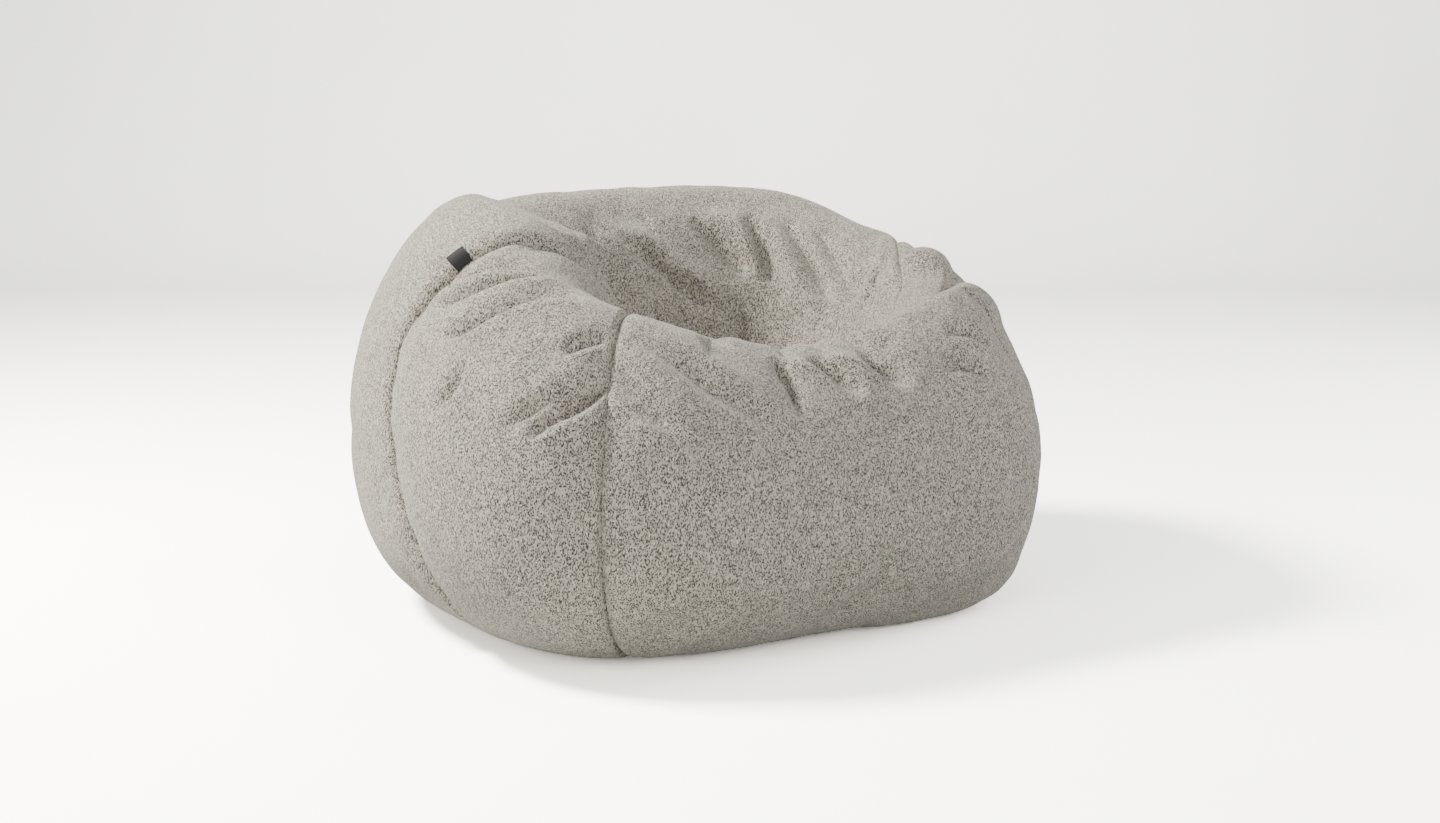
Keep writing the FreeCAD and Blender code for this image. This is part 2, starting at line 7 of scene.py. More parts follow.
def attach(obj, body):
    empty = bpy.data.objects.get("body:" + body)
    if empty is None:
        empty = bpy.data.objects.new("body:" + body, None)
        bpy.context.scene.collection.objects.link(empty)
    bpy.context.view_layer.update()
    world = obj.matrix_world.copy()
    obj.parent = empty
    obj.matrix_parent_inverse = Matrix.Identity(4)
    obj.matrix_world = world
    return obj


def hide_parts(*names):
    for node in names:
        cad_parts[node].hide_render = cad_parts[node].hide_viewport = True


# The looks of a large bean bag chair: a cover of five cloth panels over a liner full of beads.
# Metres and degrees, in the frame of the CAD model. A place on the bag is an azimuth, which runs
# from +X towards +Y, and a place up the section: 0 at the base seam, about 4.7 at the crest of the
# rim and 9 at the crown seam, deep in the seat hollow.
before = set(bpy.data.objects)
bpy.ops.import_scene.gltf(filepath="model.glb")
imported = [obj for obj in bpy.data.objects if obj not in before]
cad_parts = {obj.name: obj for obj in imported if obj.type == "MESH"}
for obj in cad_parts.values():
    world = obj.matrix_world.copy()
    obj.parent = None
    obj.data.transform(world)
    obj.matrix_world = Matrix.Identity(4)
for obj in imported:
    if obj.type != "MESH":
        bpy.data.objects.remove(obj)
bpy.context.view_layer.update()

# ---- Body shape, as the CAD has it ----
STATIONS = [
    (-165, 0.590, 0.595, 0.66),
    (-140, 0.600, 0.550, 0.64),
    (-115, 0.515, 0.505, 0.62),
    (-90, 0.470, 0.490, 0.60),
    (-65, 0.505, 0.500, 0.62),
    (-40, 0.590, 0.545, 0.68),
    (-15, 0.580, 0.572, 0.74),
    (12, 0.555, 0.615, 0.76),
    (40, 0.570, 0.675, 0.70),
    (140, 0.595, 0.680, 0.70),
    (170, 0.590, 0.665, 0.70),
]
BACK_AZIMUTHS = (60, 75, 90, 105, 120)
BACK_REACH = 0.480
BACK_RADIUS = 1.100
BACK_HEIGHT = 0.685
BACK_RIM_SHARE = 0.66
# Share of the plan radius, share of the rim radius, length, share of the rim height, height,
# share of the hollow's shift, and how far the back-left, back-right and front-left seams wander.
PROFILE = [
    (0.58, 0.00, 0.000, 0.00, 0.000, 0.0, 12.0, 0.0, 0.0),
    (0.80, 0.00, 0.000, 0.00, 0.000, 0.0, 12.0, 0.0, 0.0),
    (0.97, 0.00, 0.000, 0.10, 0.000, 0.0, 10.5, 0.0, 0.0),
    (1.045, 0.00, 0.000, 0.40, 0.000, 0.0, -0.5, 0.0, 0.0),
    (1.00, 0.00, 0.000, 0.72, 0.000, 0.0, -9.0, 0.0, 0.0),
    (0.45, 0.55, 0.000, 0.99, 0.000, 0.0, -3.0, 2.0, -2.0),
    (0.00, 1.00, 0.000, 1.06, 0.000, 0.2, 1.0, -2.0, -4.5),
    (0.00, 0.80, 0.000, 0.96, 0.000, 0.5, 0.0, -24.0, -8.0),
    (0.00, 0.62, 0.000, 0.40, 0.200, 0.8, 0.0, -28.0, -8.0),
    (0.00, 0.45, 0.000, 0.00, 0.310, 1.0, 0.0, -24.0, -6.0),
    (0.00, 0.28, 0.000, 0.00, 0.300, 1.0, 0.0, -20.0, -4.0),
    (0.00, 0.00, 0.050, 0.00, 0.300, 1.0, 0.0, -20.0, -4.0),
]
# The broad shoulder left of the backrest: how far each row leans in and rises there, in metres.
SHOULDER = {6: (0.035, 0.000), 7: (0.085, 0.026), 8: (0.080, 0.060), 9: (0.030, 0.020)}
SHOULDER_AZIMUTH = 168
SHOULDER_REACH = 50
LEFT_TURN_REACH = 42
RIGHT_TURN_REACH = 55
FRONT_TURN_REACH = 40
HOLLOW_SHIFT = (0.030, -0.050)
PLAN_SHIFT = (0.011, -0.005)
POLES_ROUND = 48
POLE_STEP = 360 / POLES_ROUND
LAST_PLACE = len(PROFILE) - 3
BACK_LEFT_SEAM = 184
FRONT_LEFT_SEAM = 226
FRONT_RIGHT_SEAM = 324
BACK_RIGHT_SEAM = 365
ZIP_HEIGHT = 0.112
ZIP_CENTRE_X = 0.011
ZIP_HALF_LENGTH = 0.246
# How far the panel edges stand off the zip's line, over what length they close at its ends, and
# the gap that is left between them beyond it.
ZIP_OPENING = 0.0052
ZIP_CLOSING = 0.012
HEM_GAP = 0.0003

# ---- Cloth ----
CLOTH_THICKNESS = 0.0024
COIL_HALF_LENGTH = 0.2404
COIL_PITCH = 0.0019
COIL_POINTS = 10
COIL_MIDDLE = (0.00235, -0.0028)
COIL_REACH = (0.0012, 0.00075)
THREAD_RADIUS = 0.00044
LABEL_PLACE = 4.2
LABEL_LENGTH = 0.031
LABEL_DROP = 0.024
LABEL_LEAF = 0.0008
LABEL_LIFT = 0.0010
LABEL_SPRING = 0.10
SEAM_GAP_ANGLE = 0.006
CELL = 0.0062
BACK_CELL = 0.0074
LIP_RISE = 6.5
LIP_REACH = 12
INNER_CELL = 0.014
SETTLE_COLUMNS = 180
SETTLE_CELL = 0.013
SETTLE_FRAMES = 20
SETTLE_PRESSURE = 4
SETTLE_EXTRA = 0.035
SETTLE_BLUR = 60
SETTLE_CAP = 0.012
SETTLE_SWELLING = 0.9
SETTLE_FADE = ([0.4, 1.4, 5.2, 6.2, 8.0], [0.1, 1.0, 1.0, 0.55, 0.25])
LINER_DEPTHS = (0.0086, 0.0101)
TAPE_DEPTHS = (0.0035, 0.0043)
BEAD_DEPTH = 0.0112
# How loose the cloth is, and how deep two of its seams lie in mm, at places up the section.
LOOSENESS = ([0, 0.6, 2.5, 3.6, 5, 6.5, 8, 9], [0.2, 0.6, 0.8, 1.5, 1.8, 2.2, 1.6, 0.5])
BACK_LEFT_DEPTHS = ([0, 0.7, 1.4, 2.5, 3.4, 4.2, 5.3, 5.9, 9], [5, 6, 8, 8, 8, 8, 7, 3, 3])
BACK_RIGHT_DEPTHS = ([0, 3, 4.4, 5.2, 6.5, 9], [4, 5, 8, 13, 8, 3])
# Depth and reach of the front seams, in metres.
FRONT_GROOVES = {FRONT_LEFT_SEAM: (0.0068, 0.0055), FRONT_RIGHT_SEAM: (0.0068, 0.006)}
# The cloth lies smooth over the zips, and folds again this far aside and this high up.
CALM_ASIDE = (0.30, 0.40)
CALM_HEIGHTS = (0.22, 0.30)
CALM_FRONT = 0.2

# Fleck layers of the cloth: the turn of its threads in degrees, an offset, and cells in a metre.
FLECK_LAYERS = [
    ((0, 0, 0), 0.0, 440),
    ((0, 24, 31), 3.0, 500),
    ((18, -21, -40), 7.0, 470),
]

# ---- Floor, camera and lights ----
FLOOR_DEPTH = 4.2
FLOOR_CURVE = 1.4
CAMERA_AZIMUTH = -30
CAMERA_ELEVATION = 11
CAMERA_DISTANCE = 3.6
CAMERA_TARGET = (0.051, -0.005, 0.325)
# Name, azimuth, elevation, distance, width, watts and colour of each light.
LIGHTS = [
    ("key", 150, 46, 3.4, 0.7, 330, (1.0, 0.965, 0.90)),
    ("left", 205, 14, 4.0, 1.8, 90, (1.0, 0.975, 0.93)),
    ("right", 345, 28, 4.0, 2.0, 80, (1.0, 0.985, 0.96)),
    ("front", 280, 16, 4.4, 2.0, 98, (1.0, 0.985, 0.95)),
]

# ---- Folds ----
# Laps: the cloth runs down a slope on the left of a line and turns back up sharply on its right,
# over a small lip. Points along the line as (azimuth, place), depth, width of the slope, and
# height of the lip, in mm.
LAPS = [
    # left gusset
    ([(186.8, 3.45), (186.2, 3.7), (188.0, 4.0), (190.8, 4.25), (195.0, 4.58), (200.0, 4.88), (207.0, 5.2)],
     32, 62, 9),
    ([(191.5, 3.68), (194.5, 3.93), (197.0, 4.2), (199.0, 4.45), (203.0, 4.85)], 19, 32, 8),
    ([(197.0, 3.52), (200.5, 3.62), (204.5, 3.95), (207.5, 4.22), (211.0, 4.48), (217.0, 4.6)], 33, 52, 9),
    ([(201.0, 2.95), (203.2, 3.12), (204.2, 3.38)], 18, 38, 5),
    ([(218.0, 3.76), (220.5, 3.9), (224.0, 4.08)], 16, 30, 5),
    ([(216.0, 2.95), (218.5, 3.12), (222.0, 3.28), (224.5, 3.45), (225.8, 3.62)], 33, 70, 9),
    ([(213.0, 2.95), (215.2, 3.15), (218.0, 3.35)], 12, 36, 5),
    # front panel
    ([(306.5, 3.98), (310.5, 3.82), (314.0, 3.6)], 21, 38, 6),
    ([(300.0, 3.60), (305.0, 3.50), (309.0, 3.34)], 19, 38, 5),
    # backrest
    ([(106.0, 6.25), (95.5, 6.45), (87.5, 6.58), (78.0, 6.78), (66.0, 6.98)], 13, 40, 2),
    ([(130.0, 5.92), (118.5, 6.10), (110.0, 6.28)], 8, 26, 1),
]
# Swells: a rounded ridge or dent along a line. Points, height in mm (dents are negative), reach
# to the left and to the right of the line in mm, and how sharp it is: 1 is a crease and 2 soft.
SWELLS = [
    # front panel, where the cloth gathers under the rim
    ([(228.5, 4.25), (239, 3.88), (246, 3.56), (256, 3.25)], -23, 20, 22, 1.5),
    ([(236, 4.4), (248, 3.8), (258.5, 3.33)], 8, 24, 14, 1.7),
    ([(259.5, 4.25), (262.5, 3.85), (262.5, 3.35)], -27, 13, 20, 1.3),
    ([(262, 4.3), (268, 3.95), (273.5, 3.66)], 12, 20, 12, 1.7),
    ([(270, 4.25), (275.5, 3.86), (279.5, 3.5)], -27, 13, 19, 1.3),
    ([(275, 4.25), (281, 3.92), (286, 3.62)], 12, 20, 12, 1.7),
    ([(285, 4.2), (289, 3.85), (292, 3.55)], -25, 13, 19, 1.35),
    ([(229.8, 3.20), (233, 3.15), (236, 3.08)], 8, 11, 11, 2.0),
    ([(229, 3.36), (234, 3.30), (240, 3.26)], -7, 12, 10, 1.4),
    ([(284, 0.55), (302, 0.55), (318, 0.75), (334, 1.05), (346, 1.3)], 20, 50, 50, 2.0),
    ([(318, 4.1), (328, 3.9), (338, 3.8)], 11, 46, 46, 2.0),
    # the flat top of the left shoulder and the backrest
    ([(186, 5.0), (170, 4.95), (156, 4.95), (142, 5.0)], 20, 55, 55, 2.0),
    ([(152, 5.0), (120, 5.0), (80, 5.0), (40, 5.05), (14, 5.1)], 10, 60, 60, 2.0),
    # the front rim's scallops
    ([(243.5, 4.0), (244.5, 4.75), (246, 5.5)], -17, 17, 17, 1.2),
    ([(263.5, 4.1), (265, 4.75), (265, 5.5)], -17, 16, 16, 1.2),
    ([(276, 4.1), (277, 4.75), (276, 5.5)], -14, 14, 14, 1.2),
    ([(288, 4.0), (290, 4.75), (289, 5.5)], -17, 16, 16, 1.2),
    # backrest, down into the hollow
    ([(112, 5.85), (94, 6.2), (80, 6.53), (68.5, 6.7), (57, 6.95)], 19, 32, 17, 1.7),
    ([(70, 5.95), (58.5, 6.3), (51, 6.65)], -23, 19, 16, 1.35),
    ([(60, 5.75), (54.0, 6.02), (50.5, 6.3), (47, 6.62)], 13, 14, 14, 1.8),
    ([(50.5, 5.9), (46.5, 6.35), (44, 6.7)], -19, 13, 14, 1.3),
    ([(46.5, 5.85), (40, 6.45), (31, 6.9)], 18, 24, 24, 1.8),
    ([(42, 5.85), (34, 6.4), (30, 6.65)], -17, 13, 12, 1.3),
    ([(39, 5.85), (31.5, 6.38)], 11, 13, 12, 1.8),
    ([(34, 5.8), (26.5, 6.33), (22.5, 6.5)], -18, 17, 15, 1.3),
    ([(29, 6.12), (20.5, 6.5)], 8, 10, 10, 1.8),
    ([(13, 5.4), (19, 6.1), (20.5, 6.5)], 9, 12, 12, 1.8),
    # the crease between the backrest and the right arm, and the lobe behind the arm
    ([(282, 5.75), (296, 5.5), (308, 5.35), (318, 5.2), (327, 5.02), (334, 4.8), (339, 4.45), (342, 3.9)],
     -58, 58, 19, 1.35),
    ([(292, 5.05), (305, 4.85), (316, 4.7), (325, 4.5), (331, 4.1)], 13, 22, 30, 1.9),
    ([(362, 5.5), (355, 5.1), (350, 4.7), (347, 4.2)], 22, 36, 36, 1.9),
    # the broad top of the left shoulder
    ([(176, 5.85), (156, 6.1), (130, 6.2), (104, 6.1)], 20, 34, 44, 1.9),
    # loose folds deep in the hollow
    ([(150, 6.5), (140, 6.9), (128, 7.5)], -12, 22, 22, 1.4),
    ([(208, 5.9), (203, 6.5), (200, 7.2)], -12, 22, 22, 1.4),
    ([(232, 5.4), (236, 6.2), (238, 7.2)], -16, 20, 20, 1.3),
    ([(262, 5.4), (262, 6.2), (260, 7.4)], -16, 22, 22, 1.3),
    ([(300, 5.6), (296, 6.4), (292, 7.4)], -14, 22, 22, 1.3),
    ([(100, 6.9), (96, 7.5), (92, 8.2)], -10, 16, 16, 1.3),
    ([(52, 6.9), (50, 7.5), (48, 8.2)], -10, 16, 16, 1.3),
    # the back, where the folds are slack and long
    ([(152, 4.3), (140, 3.7), (131, 3.1)], -9, 26, 20, 1.4),
    ([(128, 4.5), (118, 4.0), (112, 3.4)], -9, 24, 20, 1.4),
    ([(98, 4.6), (95, 3.9), (97, 3.3)], -8, 22, 22, 1.4),
    ([(72, 4.5), (78, 3.9), (80, 3.3)], -9, 20, 24, 1.4),
    ([(48, 4.4), (56, 3.8), (61, 3.1)], -10, 22, 24, 1.4),
    ([(26, 4.3), (34, 3.7), (42, 3.2)], -9, 20, 22, 1.4),
    ([(12, 3.9), (20, 3.3), (30, 2.8)], -7, 20, 20, 1.5),
    ([(356, 4.1), (350, 3.5), (348, 3.0)], -9, 18, 20, 1.4),
    ([(340, 4.3), (337, 3.8), (333, 3.3)], -9, 18, 18, 1.4),
    ([(165, 2.3), (150, 2.1), (138, 2.2)], -6, 22, 22, 1.5),
    ([(42, 2.2), (30, 2.0), (20, 2.2)], -6, 22, 22, 1.5),
]


def closed_spline(angles, values):
    """A smooth closed curve of value against angle, as a function of an array of angles."""
    angles = np.array(angles, float)
    values = np.array(values, float)
    count = len(angles)
    steps = (np.roll(angles, -1) - angles) % 360
    slopes = (np.roll(values, -1) - values) / steps
    system = np.zeros((count, count))
    for i in range(count):
        system[i, i] = 2 * (steps[i - 1] + steps[i])
        system[i, i - 1] = steps[i - 1]
        system[i, (i + 1) % count] = steps[i]
    bends = np.linalg.solve(system, 6 * (slopes - np.roll(slopes, 1)))

    def value(angle):
        past = (np.asarray(angle, float)[..., None] - angles) % 360
        i = past.argmin(-1)
        after = (i + 1) % count
        step = steps[i]
        done = past.min(-1)
        left = step - done
        curve = (bends[i] * left**3 + bends[after] * done**3) / (6 * step)
        start = (values[i] / step - bends[i] * step / 6) * left
        end = (values[after] / step - bends[after] * step / 6) * done
        return curve + start + end

    return value


def turn_share(azimuth, seam, reach):
    """How much of a seam's turn is felt at an azimuth: all of it at the seam, none beyond reach."""
    away = np.abs((azimuth - seam + 180) % 360 - 180)
    return np.cos(np.clip(away / reach, 0, 1) * math.pi / 2) ** 2


def bag_poles():
    """Control points of the cover's outer face: rows up the section, columns round the bag."""
    centre = BACK_REACH - BACK_RADIUS
    rows = list(STATIONS)
    for azimuth in BACK_AZIMUTHS:
        turn = math.radians(azimuth)
        reach = centre * math.sin(turn) + math.sqrt(BACK_RADIUS**2 - (centre * math.cos(turn)) ** 2)
        rows.append((azimuth, reach, BACK_HEIGHT, BACK_RIM_SHARE))
    rows.sort()
    angles = [row[0] for row in rows]
    plan_radius = closed_spline(angles, [row[1] for row in rows])
    rim_height = closed_spline(angles, [row[2] for row in rows])
    rim_share = closed_spline(angles, [row[3] for row in rows])
    even = np.arange(POLES_ROUND) * POLE_STEP
    poles = []
    for row, values in enumerate(PROFILE):
        plan, rim, length, rise, height, shift, left_turn, right_turn, front_turn = values
        azimuth = even + left_turn * turn_share(even, BACK_LEFT_SEAM, LEFT_TURN_REACH)
        azimuth += right_turn * turn_share(even, BACK_RIGHT_SEAM, RIGHT_TURN_REACH)
        azimuth += front_turn * turn_share(even, FRONT_LEFT_SEAM, FRONT_TURN_REACH)
        radius = plan_radius(azimuth)
        lean, lift = SHOULDER.get(row, (0, 0))
        felt = turn_share(even, SHOULDER_AZIMUTH, SHOULDER_REACH)
        reach = plan * radius + rim * rim_share(azimuth) * radius + length - lean * felt
        x = reach * np.cos(np.radians(azimuth)) + shift * HOLLOW_SHIFT[0] + PLAN_SHIFT[0]
        y = reach * np.sin(np.radians(azimuth)) + shift * HOLLOW_SHIFT[1] + PLAN_SHIFT[1]
        z = rise * rim_height(azimuth) + height + lift * felt
        poles.append(np.stack([x, y, z], -1))
    return np.array(poles)


POLES = bag_poles()


def section_weights(places):
    """How much each row of control points counts at each place up the section."""
    knots = np.concatenate([[0] * 3, np.arange(LAST_PLACE + 1), [LAST_PLACE] * 3]).astype(float)
    places = np.clip(np.asarray(places, float), 0, LAST_PLACE - 1e-9)[..., None]
    weights = ((places >= knots[:-1]) & (places < knots[1:])).astype(float)
    for degree in (1, 2, 3):
        low = knots[: -degree - 1]
        high = knots[degree + 1 :]
        rising = np.maximum(knots[degree:-1] - low, 1e-12)
        falling = np.maximum(high - knots[1:-degree], 1e-12)
        up = (places - low) / rising * weights[..., :-1]
        down = (high - places) / falling * weights[..., 1:]
        weights = up + down
    return weights


def ring_weights(azimuths):
    """How much each column of control points counts at each azimuth."""
    position = np.asarray(azimuths, float) / POLE_STEP
    column = np.floor(position).astype(int)
    t = position - column
    parts = [(1 - t) ** 3, 3 * t**3 - 6 * t**2 + 4, -3 * t**3 + 3 * t**2 + 3 * t + 1, t**3]
    weights = np.zeros((len(position), POLES_ROUND))
    for step, part in enumerate(parts):
        weights[np.arange(len(position)), (column - 1 + step) % POLES_ROUND] += part / 6
    return weights


def wall(places, azimuths):
    """Points of the smooth wall for a grid of places, one column for each azimuth."""
    columns = np.einsum("vj,ijk->vik", ring_weights(azimuths), POLES)
    return np.einsum("uvi,vik->uvk", section_weights(places), columns)


def wall_with_normals(places, azimuths):
    """The wall's points and its outward normals."""
    points = wall(places, azimuths)
    step = 0.02
    low = np.clip(places - step, 0, LAST_PLACE)
    high = np.clip(places + step, 0, LAST_PLACE)
    up = wall(high, azimuths) - wall(low, azimuths)
    around = wall(places, azimuths + step) - wall(places, azimuths - step)
    normals = np.cross(around, up)
    normals /= np.linalg.norm(normals, axis=-1, keepdims=True)
    return points, normals


def even_places(start, end, azimuth, cell):
    """Places up the section from start to end, about a cell apart along the cloth."""
    fine = np.linspace(start, end, 400)
    line = wall(fine[:, None], np.array([float(azimuth)]))[:, 0]
    run = np.concatenate([[0], np.cumsum(np.linalg.norm(np.diff(line, axis=0), axis=1))])
    count = max(4, round(run[-1] / cell))
    return np.interp(np.linspace(0, run[-1], count + 1), run, fine)


def seam_columns(first, last, cell):
    """Azimuths of a panel's columns, closer together beside its two seams."""
    beside = np.array([0, 0.10, 0.24, 0.42, 0.65, 0.95, 1.35, 1.85])
    step = math.degrees(cell / 0.6)
    start = first + SEAM_GAP_ANGLE
    end = last - SEAM_GAP_ANGLE
    inset = 2.4
    middle = np.linspace(start + inset, end - inset, round((end - start - 2 * inset) / step) + 1)
    return np.concatenate([start + beside, middle, end - beside[::-1]])


# ---- Relief of the cloth over the smooth wall ----
def smooth_values(values, t):
    """Values at t on a smooth curve through the given ones, which lie at t = 0, 1, 2 and so on."""
    if len(values) == 2:
        return np.interp(t, [0, 1], values)
    slopes = np.gradient(values)
    i = np.minimum(t.astype(int), len(values) - 2)
    s = t - i
    curve = (2 * s**3 - 3 * s**2 + 1) * values[i] + (s**3 - 2 * s**2 + s) * slopes[i]
    curve += (3 * s**2 - 2 * s**3) * values[i + 1]
    return curve + (s**3 - s**2) * slopes[i + 1]


def smooth_line(points, count):
    """A smooth line through points given as azimuth and place, as 3D points and normals."""
    points = np.array(points, float)
    azimuths = np.degrees(np.unwrap(np.radians(points[:, 0])))
    t = np.linspace(0, len(points) - 1, count)
    places = smooth_values(points[:, 1], t)
    found, normals = wall_with_normals(places[None, :], smooth_values(azimuths, t))
    return found[0], normals[0]


def near_line(points, places, reach):
    """Which points lie near a fold's line: their distance, share along it and side, left positive."""
    line, normals = smooth_line(places, 12 * len(places))
    margin = reach / 1000
    near = ((points > line.min(0) - margin) & (points < line.max(0) + margin)).all(-1)
    chosen = points[near]
    best = np.full(len(chosen), 1e9)
    along = np.zeros(len(chosen))
    side = np.zeros(len(chosen))
    for k in range(len(line) - 1):
        run = line[k + 1] - line[k]
        length = np.linalg.norm(run)
        away = chosen - line[k]
        t = np.clip(away @ run / length**2, 0, 1)
        gap = away - t[:, None] * run
        distance = np.linalg.norm(gap, axis=1)
        closer = distance < best
        left = np.cross(normals[k], run / length)
        best = np.where(closer, distance, best)
        along = np.where(closer, (k + t) / (len(line) - 1), along)
        side = np.where(closer, gap @ left, side)
    return near, best * 1000, along, side * 1000


def fading(along, power):
    """1 along most of a fold, fading to nothing at both ends."""
    return np.sin(math.pi * np.clip(along, 0, 1)) ** power


def add_swell(relief, points, swell):
    """Raise or sink the relief along one rounded fold."""
    places, height, left_reach, right_reach, sharpness = swell
    near, distance, along, side = near_line(points, places, 2.6 * max(left_reach, right_reach))
    reach = left_reach + (right_reach - left_reach) / (1 + np.exp(side / 3))
    taper = fading(along, 0.6)
    shape = np.exp(-((distance / (reach * (0.55 + 0.45 * taper))) ** sharpness))
    relief[near] += height / 1000 * taper * shape


def add_lap(relief, points, lap):
    """Let the cloth slope down on the left of a line and turn up over a lip on its right."""
    places, depth, width, lip = lap
    near, distance, along, side = near_line(points, places, 1.6 * width)
    taper = fading(along, 0.5)
    slope = np.clip(1 - distance / (width * (0.35 + 0.65 * taper)), 0, 1) ** 1.6
    rise = np.exp(-((distance / LIP_RISE) ** 1.5))
    bead = distance / LIP_REACH * np.exp(1 - distance / LIP_REACH)
    shape = np.where(side > 0, -depth * slope, -depth * rise + lip * bead)
    relief[near] += taper / 1000 * shape


def seam_distance(points, places, azimuths, seam):
    """Distance round the bag from a seam, positive past it."""
    on_seam = wall(places, np.full(len(azimuths), float(seam)))
    gap = np.linalg.norm(points - on_seam, axis=-1)
    return gap * np.sign((azimuths - seam + 180) % 360 - 180)


def step_between(low, high, value):
    """0 below low, 1 above high, smooth between."""
    t = np.clip((value - low) / (high - low), 0, 1)
    return t * t * (3 - 2 * t)


def groove(away, depth, reach, sharpness):
    """A dip of a given depth at a line, which fades over its reach on both sides."""
    return depth * np.exp(-((np.abs(away) / reach) ** sharpness))


def add_seams(relief, points, places, azimuths):
    """Sink the cloth into its seams, and let it puff out between them."""
    back_left = seam_distance(points, places, azimuths, BACK_LEFT_SEAM)
    on_back = back_left < 0
    reach = np.where(on_back, 0.0050, np.interp(places, [2.6, 3.6], [0.0090, 0.0075]))
    depth = np.interp(places, *BACK_LEFT_DEPTHS) / 1000
    relief -= groove(back_left, depth, reach, np.where(on_back, 1.3, 1.1))
    bulge = step_between(0.8, 2.2, places) * (1 - step_between(4.8, 6.0, places))
    relief += groove(back_left + 0.025, 0.005 * bulge, 0.03, 2)
    across = (azimuths - BACK_LEFT_SEAM) / (FRONT_LEFT_SEAM - BACK_LEFT_SEAM)
    puff = np.where((across > 0) & (across < 1), np.sin(math.pi * np.clip(across, 0, 1)), 0)
    relief += 0.016 * puff * step_between(0.6, 2.0, places) * (1 - step_between(4.6, 6.0, places))
    for seam, (depth, reach) in FRONT_GROOVES.items():
        away = seam_distance(points, places, azimuths, seam)
        relief -= groove(away, depth, reach, 1.3)
        relief -= groove(away, 0.003, 0.03, 1.5)
        relief += groove(np.abs(away) - 0.010, 0.0012, 0.005, 2)
    back_right = seam_distance(points, places, azimuths, BACK_RIGHT_SEAM - 360)
    relief -= groove(back_right, np.interp(places, *BACK_RIGHT_DEPTHS) / 1000, 0.017, 1.15)


def zip_calm(points):
    """1 over most of the bag, and 0 over the zips, where the cloth lies smooth."""
    across = np.abs(points[..., 0] - ZIP_CENTRE_X)
    aside = step_between(*CALM_ASIDE, across)
    above = step_between(*CALM_HEIGHTS, points[..., 2])
    front = (points[..., 1] < CALM_FRONT).astype(float)
    return np.maximum(np.maximum(aside, above), front)


def waves(points, size, seed):
    """Slow, even undulation of about unit height and a given size."""
    flat = points.reshape(-1, 3) / size + seed
    return np.array([noise.noise(Vector(p)) for p in flat]).reshape(points.shape[:-1])


def folds_at(points, places):
    """Height of the folds over the smooth wall, without the seams."""
    relief = np.zeros(points.shape[:2])
    for lap in LAPS:
        add_lap(relief, points, lap)
    for swell in SWELLS:
        add_swell(relief, points, swell)
    loose = np.interp(places, *LOOSENESS)
    relief += 0.0032 * loose * waves(points, 0.16, 3.7)
    relief += 0.0014 * loose * waves(points, 0.06, 9.1)
    return relief * step_between(-0.1, 0.5, places)


def free_share(points, places):
    """1 where the cloth may leave the smooth wall, and 0 at its ends and over the zips."""
    ends = step_between(0, 0.35, places) * step_between(LAST_PLACE, LAST_PLACE - 0.3, places)
    return zip_calm(points) * ends


def cloth_surface(places, azimuths):
    """The cover's outer face for a grid of places, and its normals."""
    places = np.broadcast_to(places, (len(places), len(azimuths)))
    points, normals = wall_with_normals(places, azimuths)
    relief = folds_at(points, places)
    add_seams(relief, points, places, azimuths)
    free = free_share(points, places)[..., None]
    return points + (normals * relief[..., None] + settled_moves(places, azimuths)) * free, normals


# ---- Settling in a cloth simulation ----
settled = {}


def smoothed(grid, passes):
    """A grid blurred along its rows and round its columns."""
    for _ in range(passes):
        grid = (np.roll(grid, 1, 1) + 2 * grid + np.roll(grid, -1, 1)) / 4
        ringed = np.concatenate([grid[:1], grid, grid[-1:]])
        grid = (ringed[:-2] + 2 * grid + ringed[2:]) / 4
    return grid


def settled_moves(places, azimuths):
    """How far the settled cloth lies from the sculpted cloth at a grid of places."""
    if not settled:
        return np.zeros((len(places), len(azimuths), 3))
    rows = np.interp(places, settled["places"], np.arange(len(settled["places"])))
    columns = np.broadcast_to(np.asarray(azimuths) % 360 / 360 * SETTLE_COLUMNS, rows.shape)
    row = np.floor(rows).astype(int)
    column = np.floor(columns).astype(int)
    total = 0
    for i, row_share in enumerate(spline_shares(rows - row)):
        for j, column_share in enumerate(spline_shares(columns - column)):
            near = np.clip(row + i - 1, 0, len(settled["places"]) - 1)
            share = (row_share * column_share)[..., None]
            total = total + share * settled["moves"][near, (column + j - 1) % SETTLE_COLUMNS]
    return total


def spline_shares(t):
    """The four weights of a uniform cubic B-spline."""
    first = (1 - t) ** 3 / 6
    second = (3 * t**3 - 6 * t**2 + 4) / 6
    last = t**3 / 6
    return first, second, 1 - first - second - last, last


def capped_tube(name, grid):
    """A closed mesh from rings of points, with a fan at each end."""
    rows, columns = grid.shape[:2]
    points = np.concatenate([grid.reshape(-1, 3), [grid[0].mean(0), grid[-1].mean(0)]])
    faces = grid_faces(rows, columns, 0, False, closed=True)
    for j in range(columns):
        k = (j + 1) % columns
        faces.append([k, j, rows * columns])
        faces.append([(rows - 1) * columns + j, (rows - 1) * columns + k, rows * columns + 1])
    return mesh_object(name, points, faces)


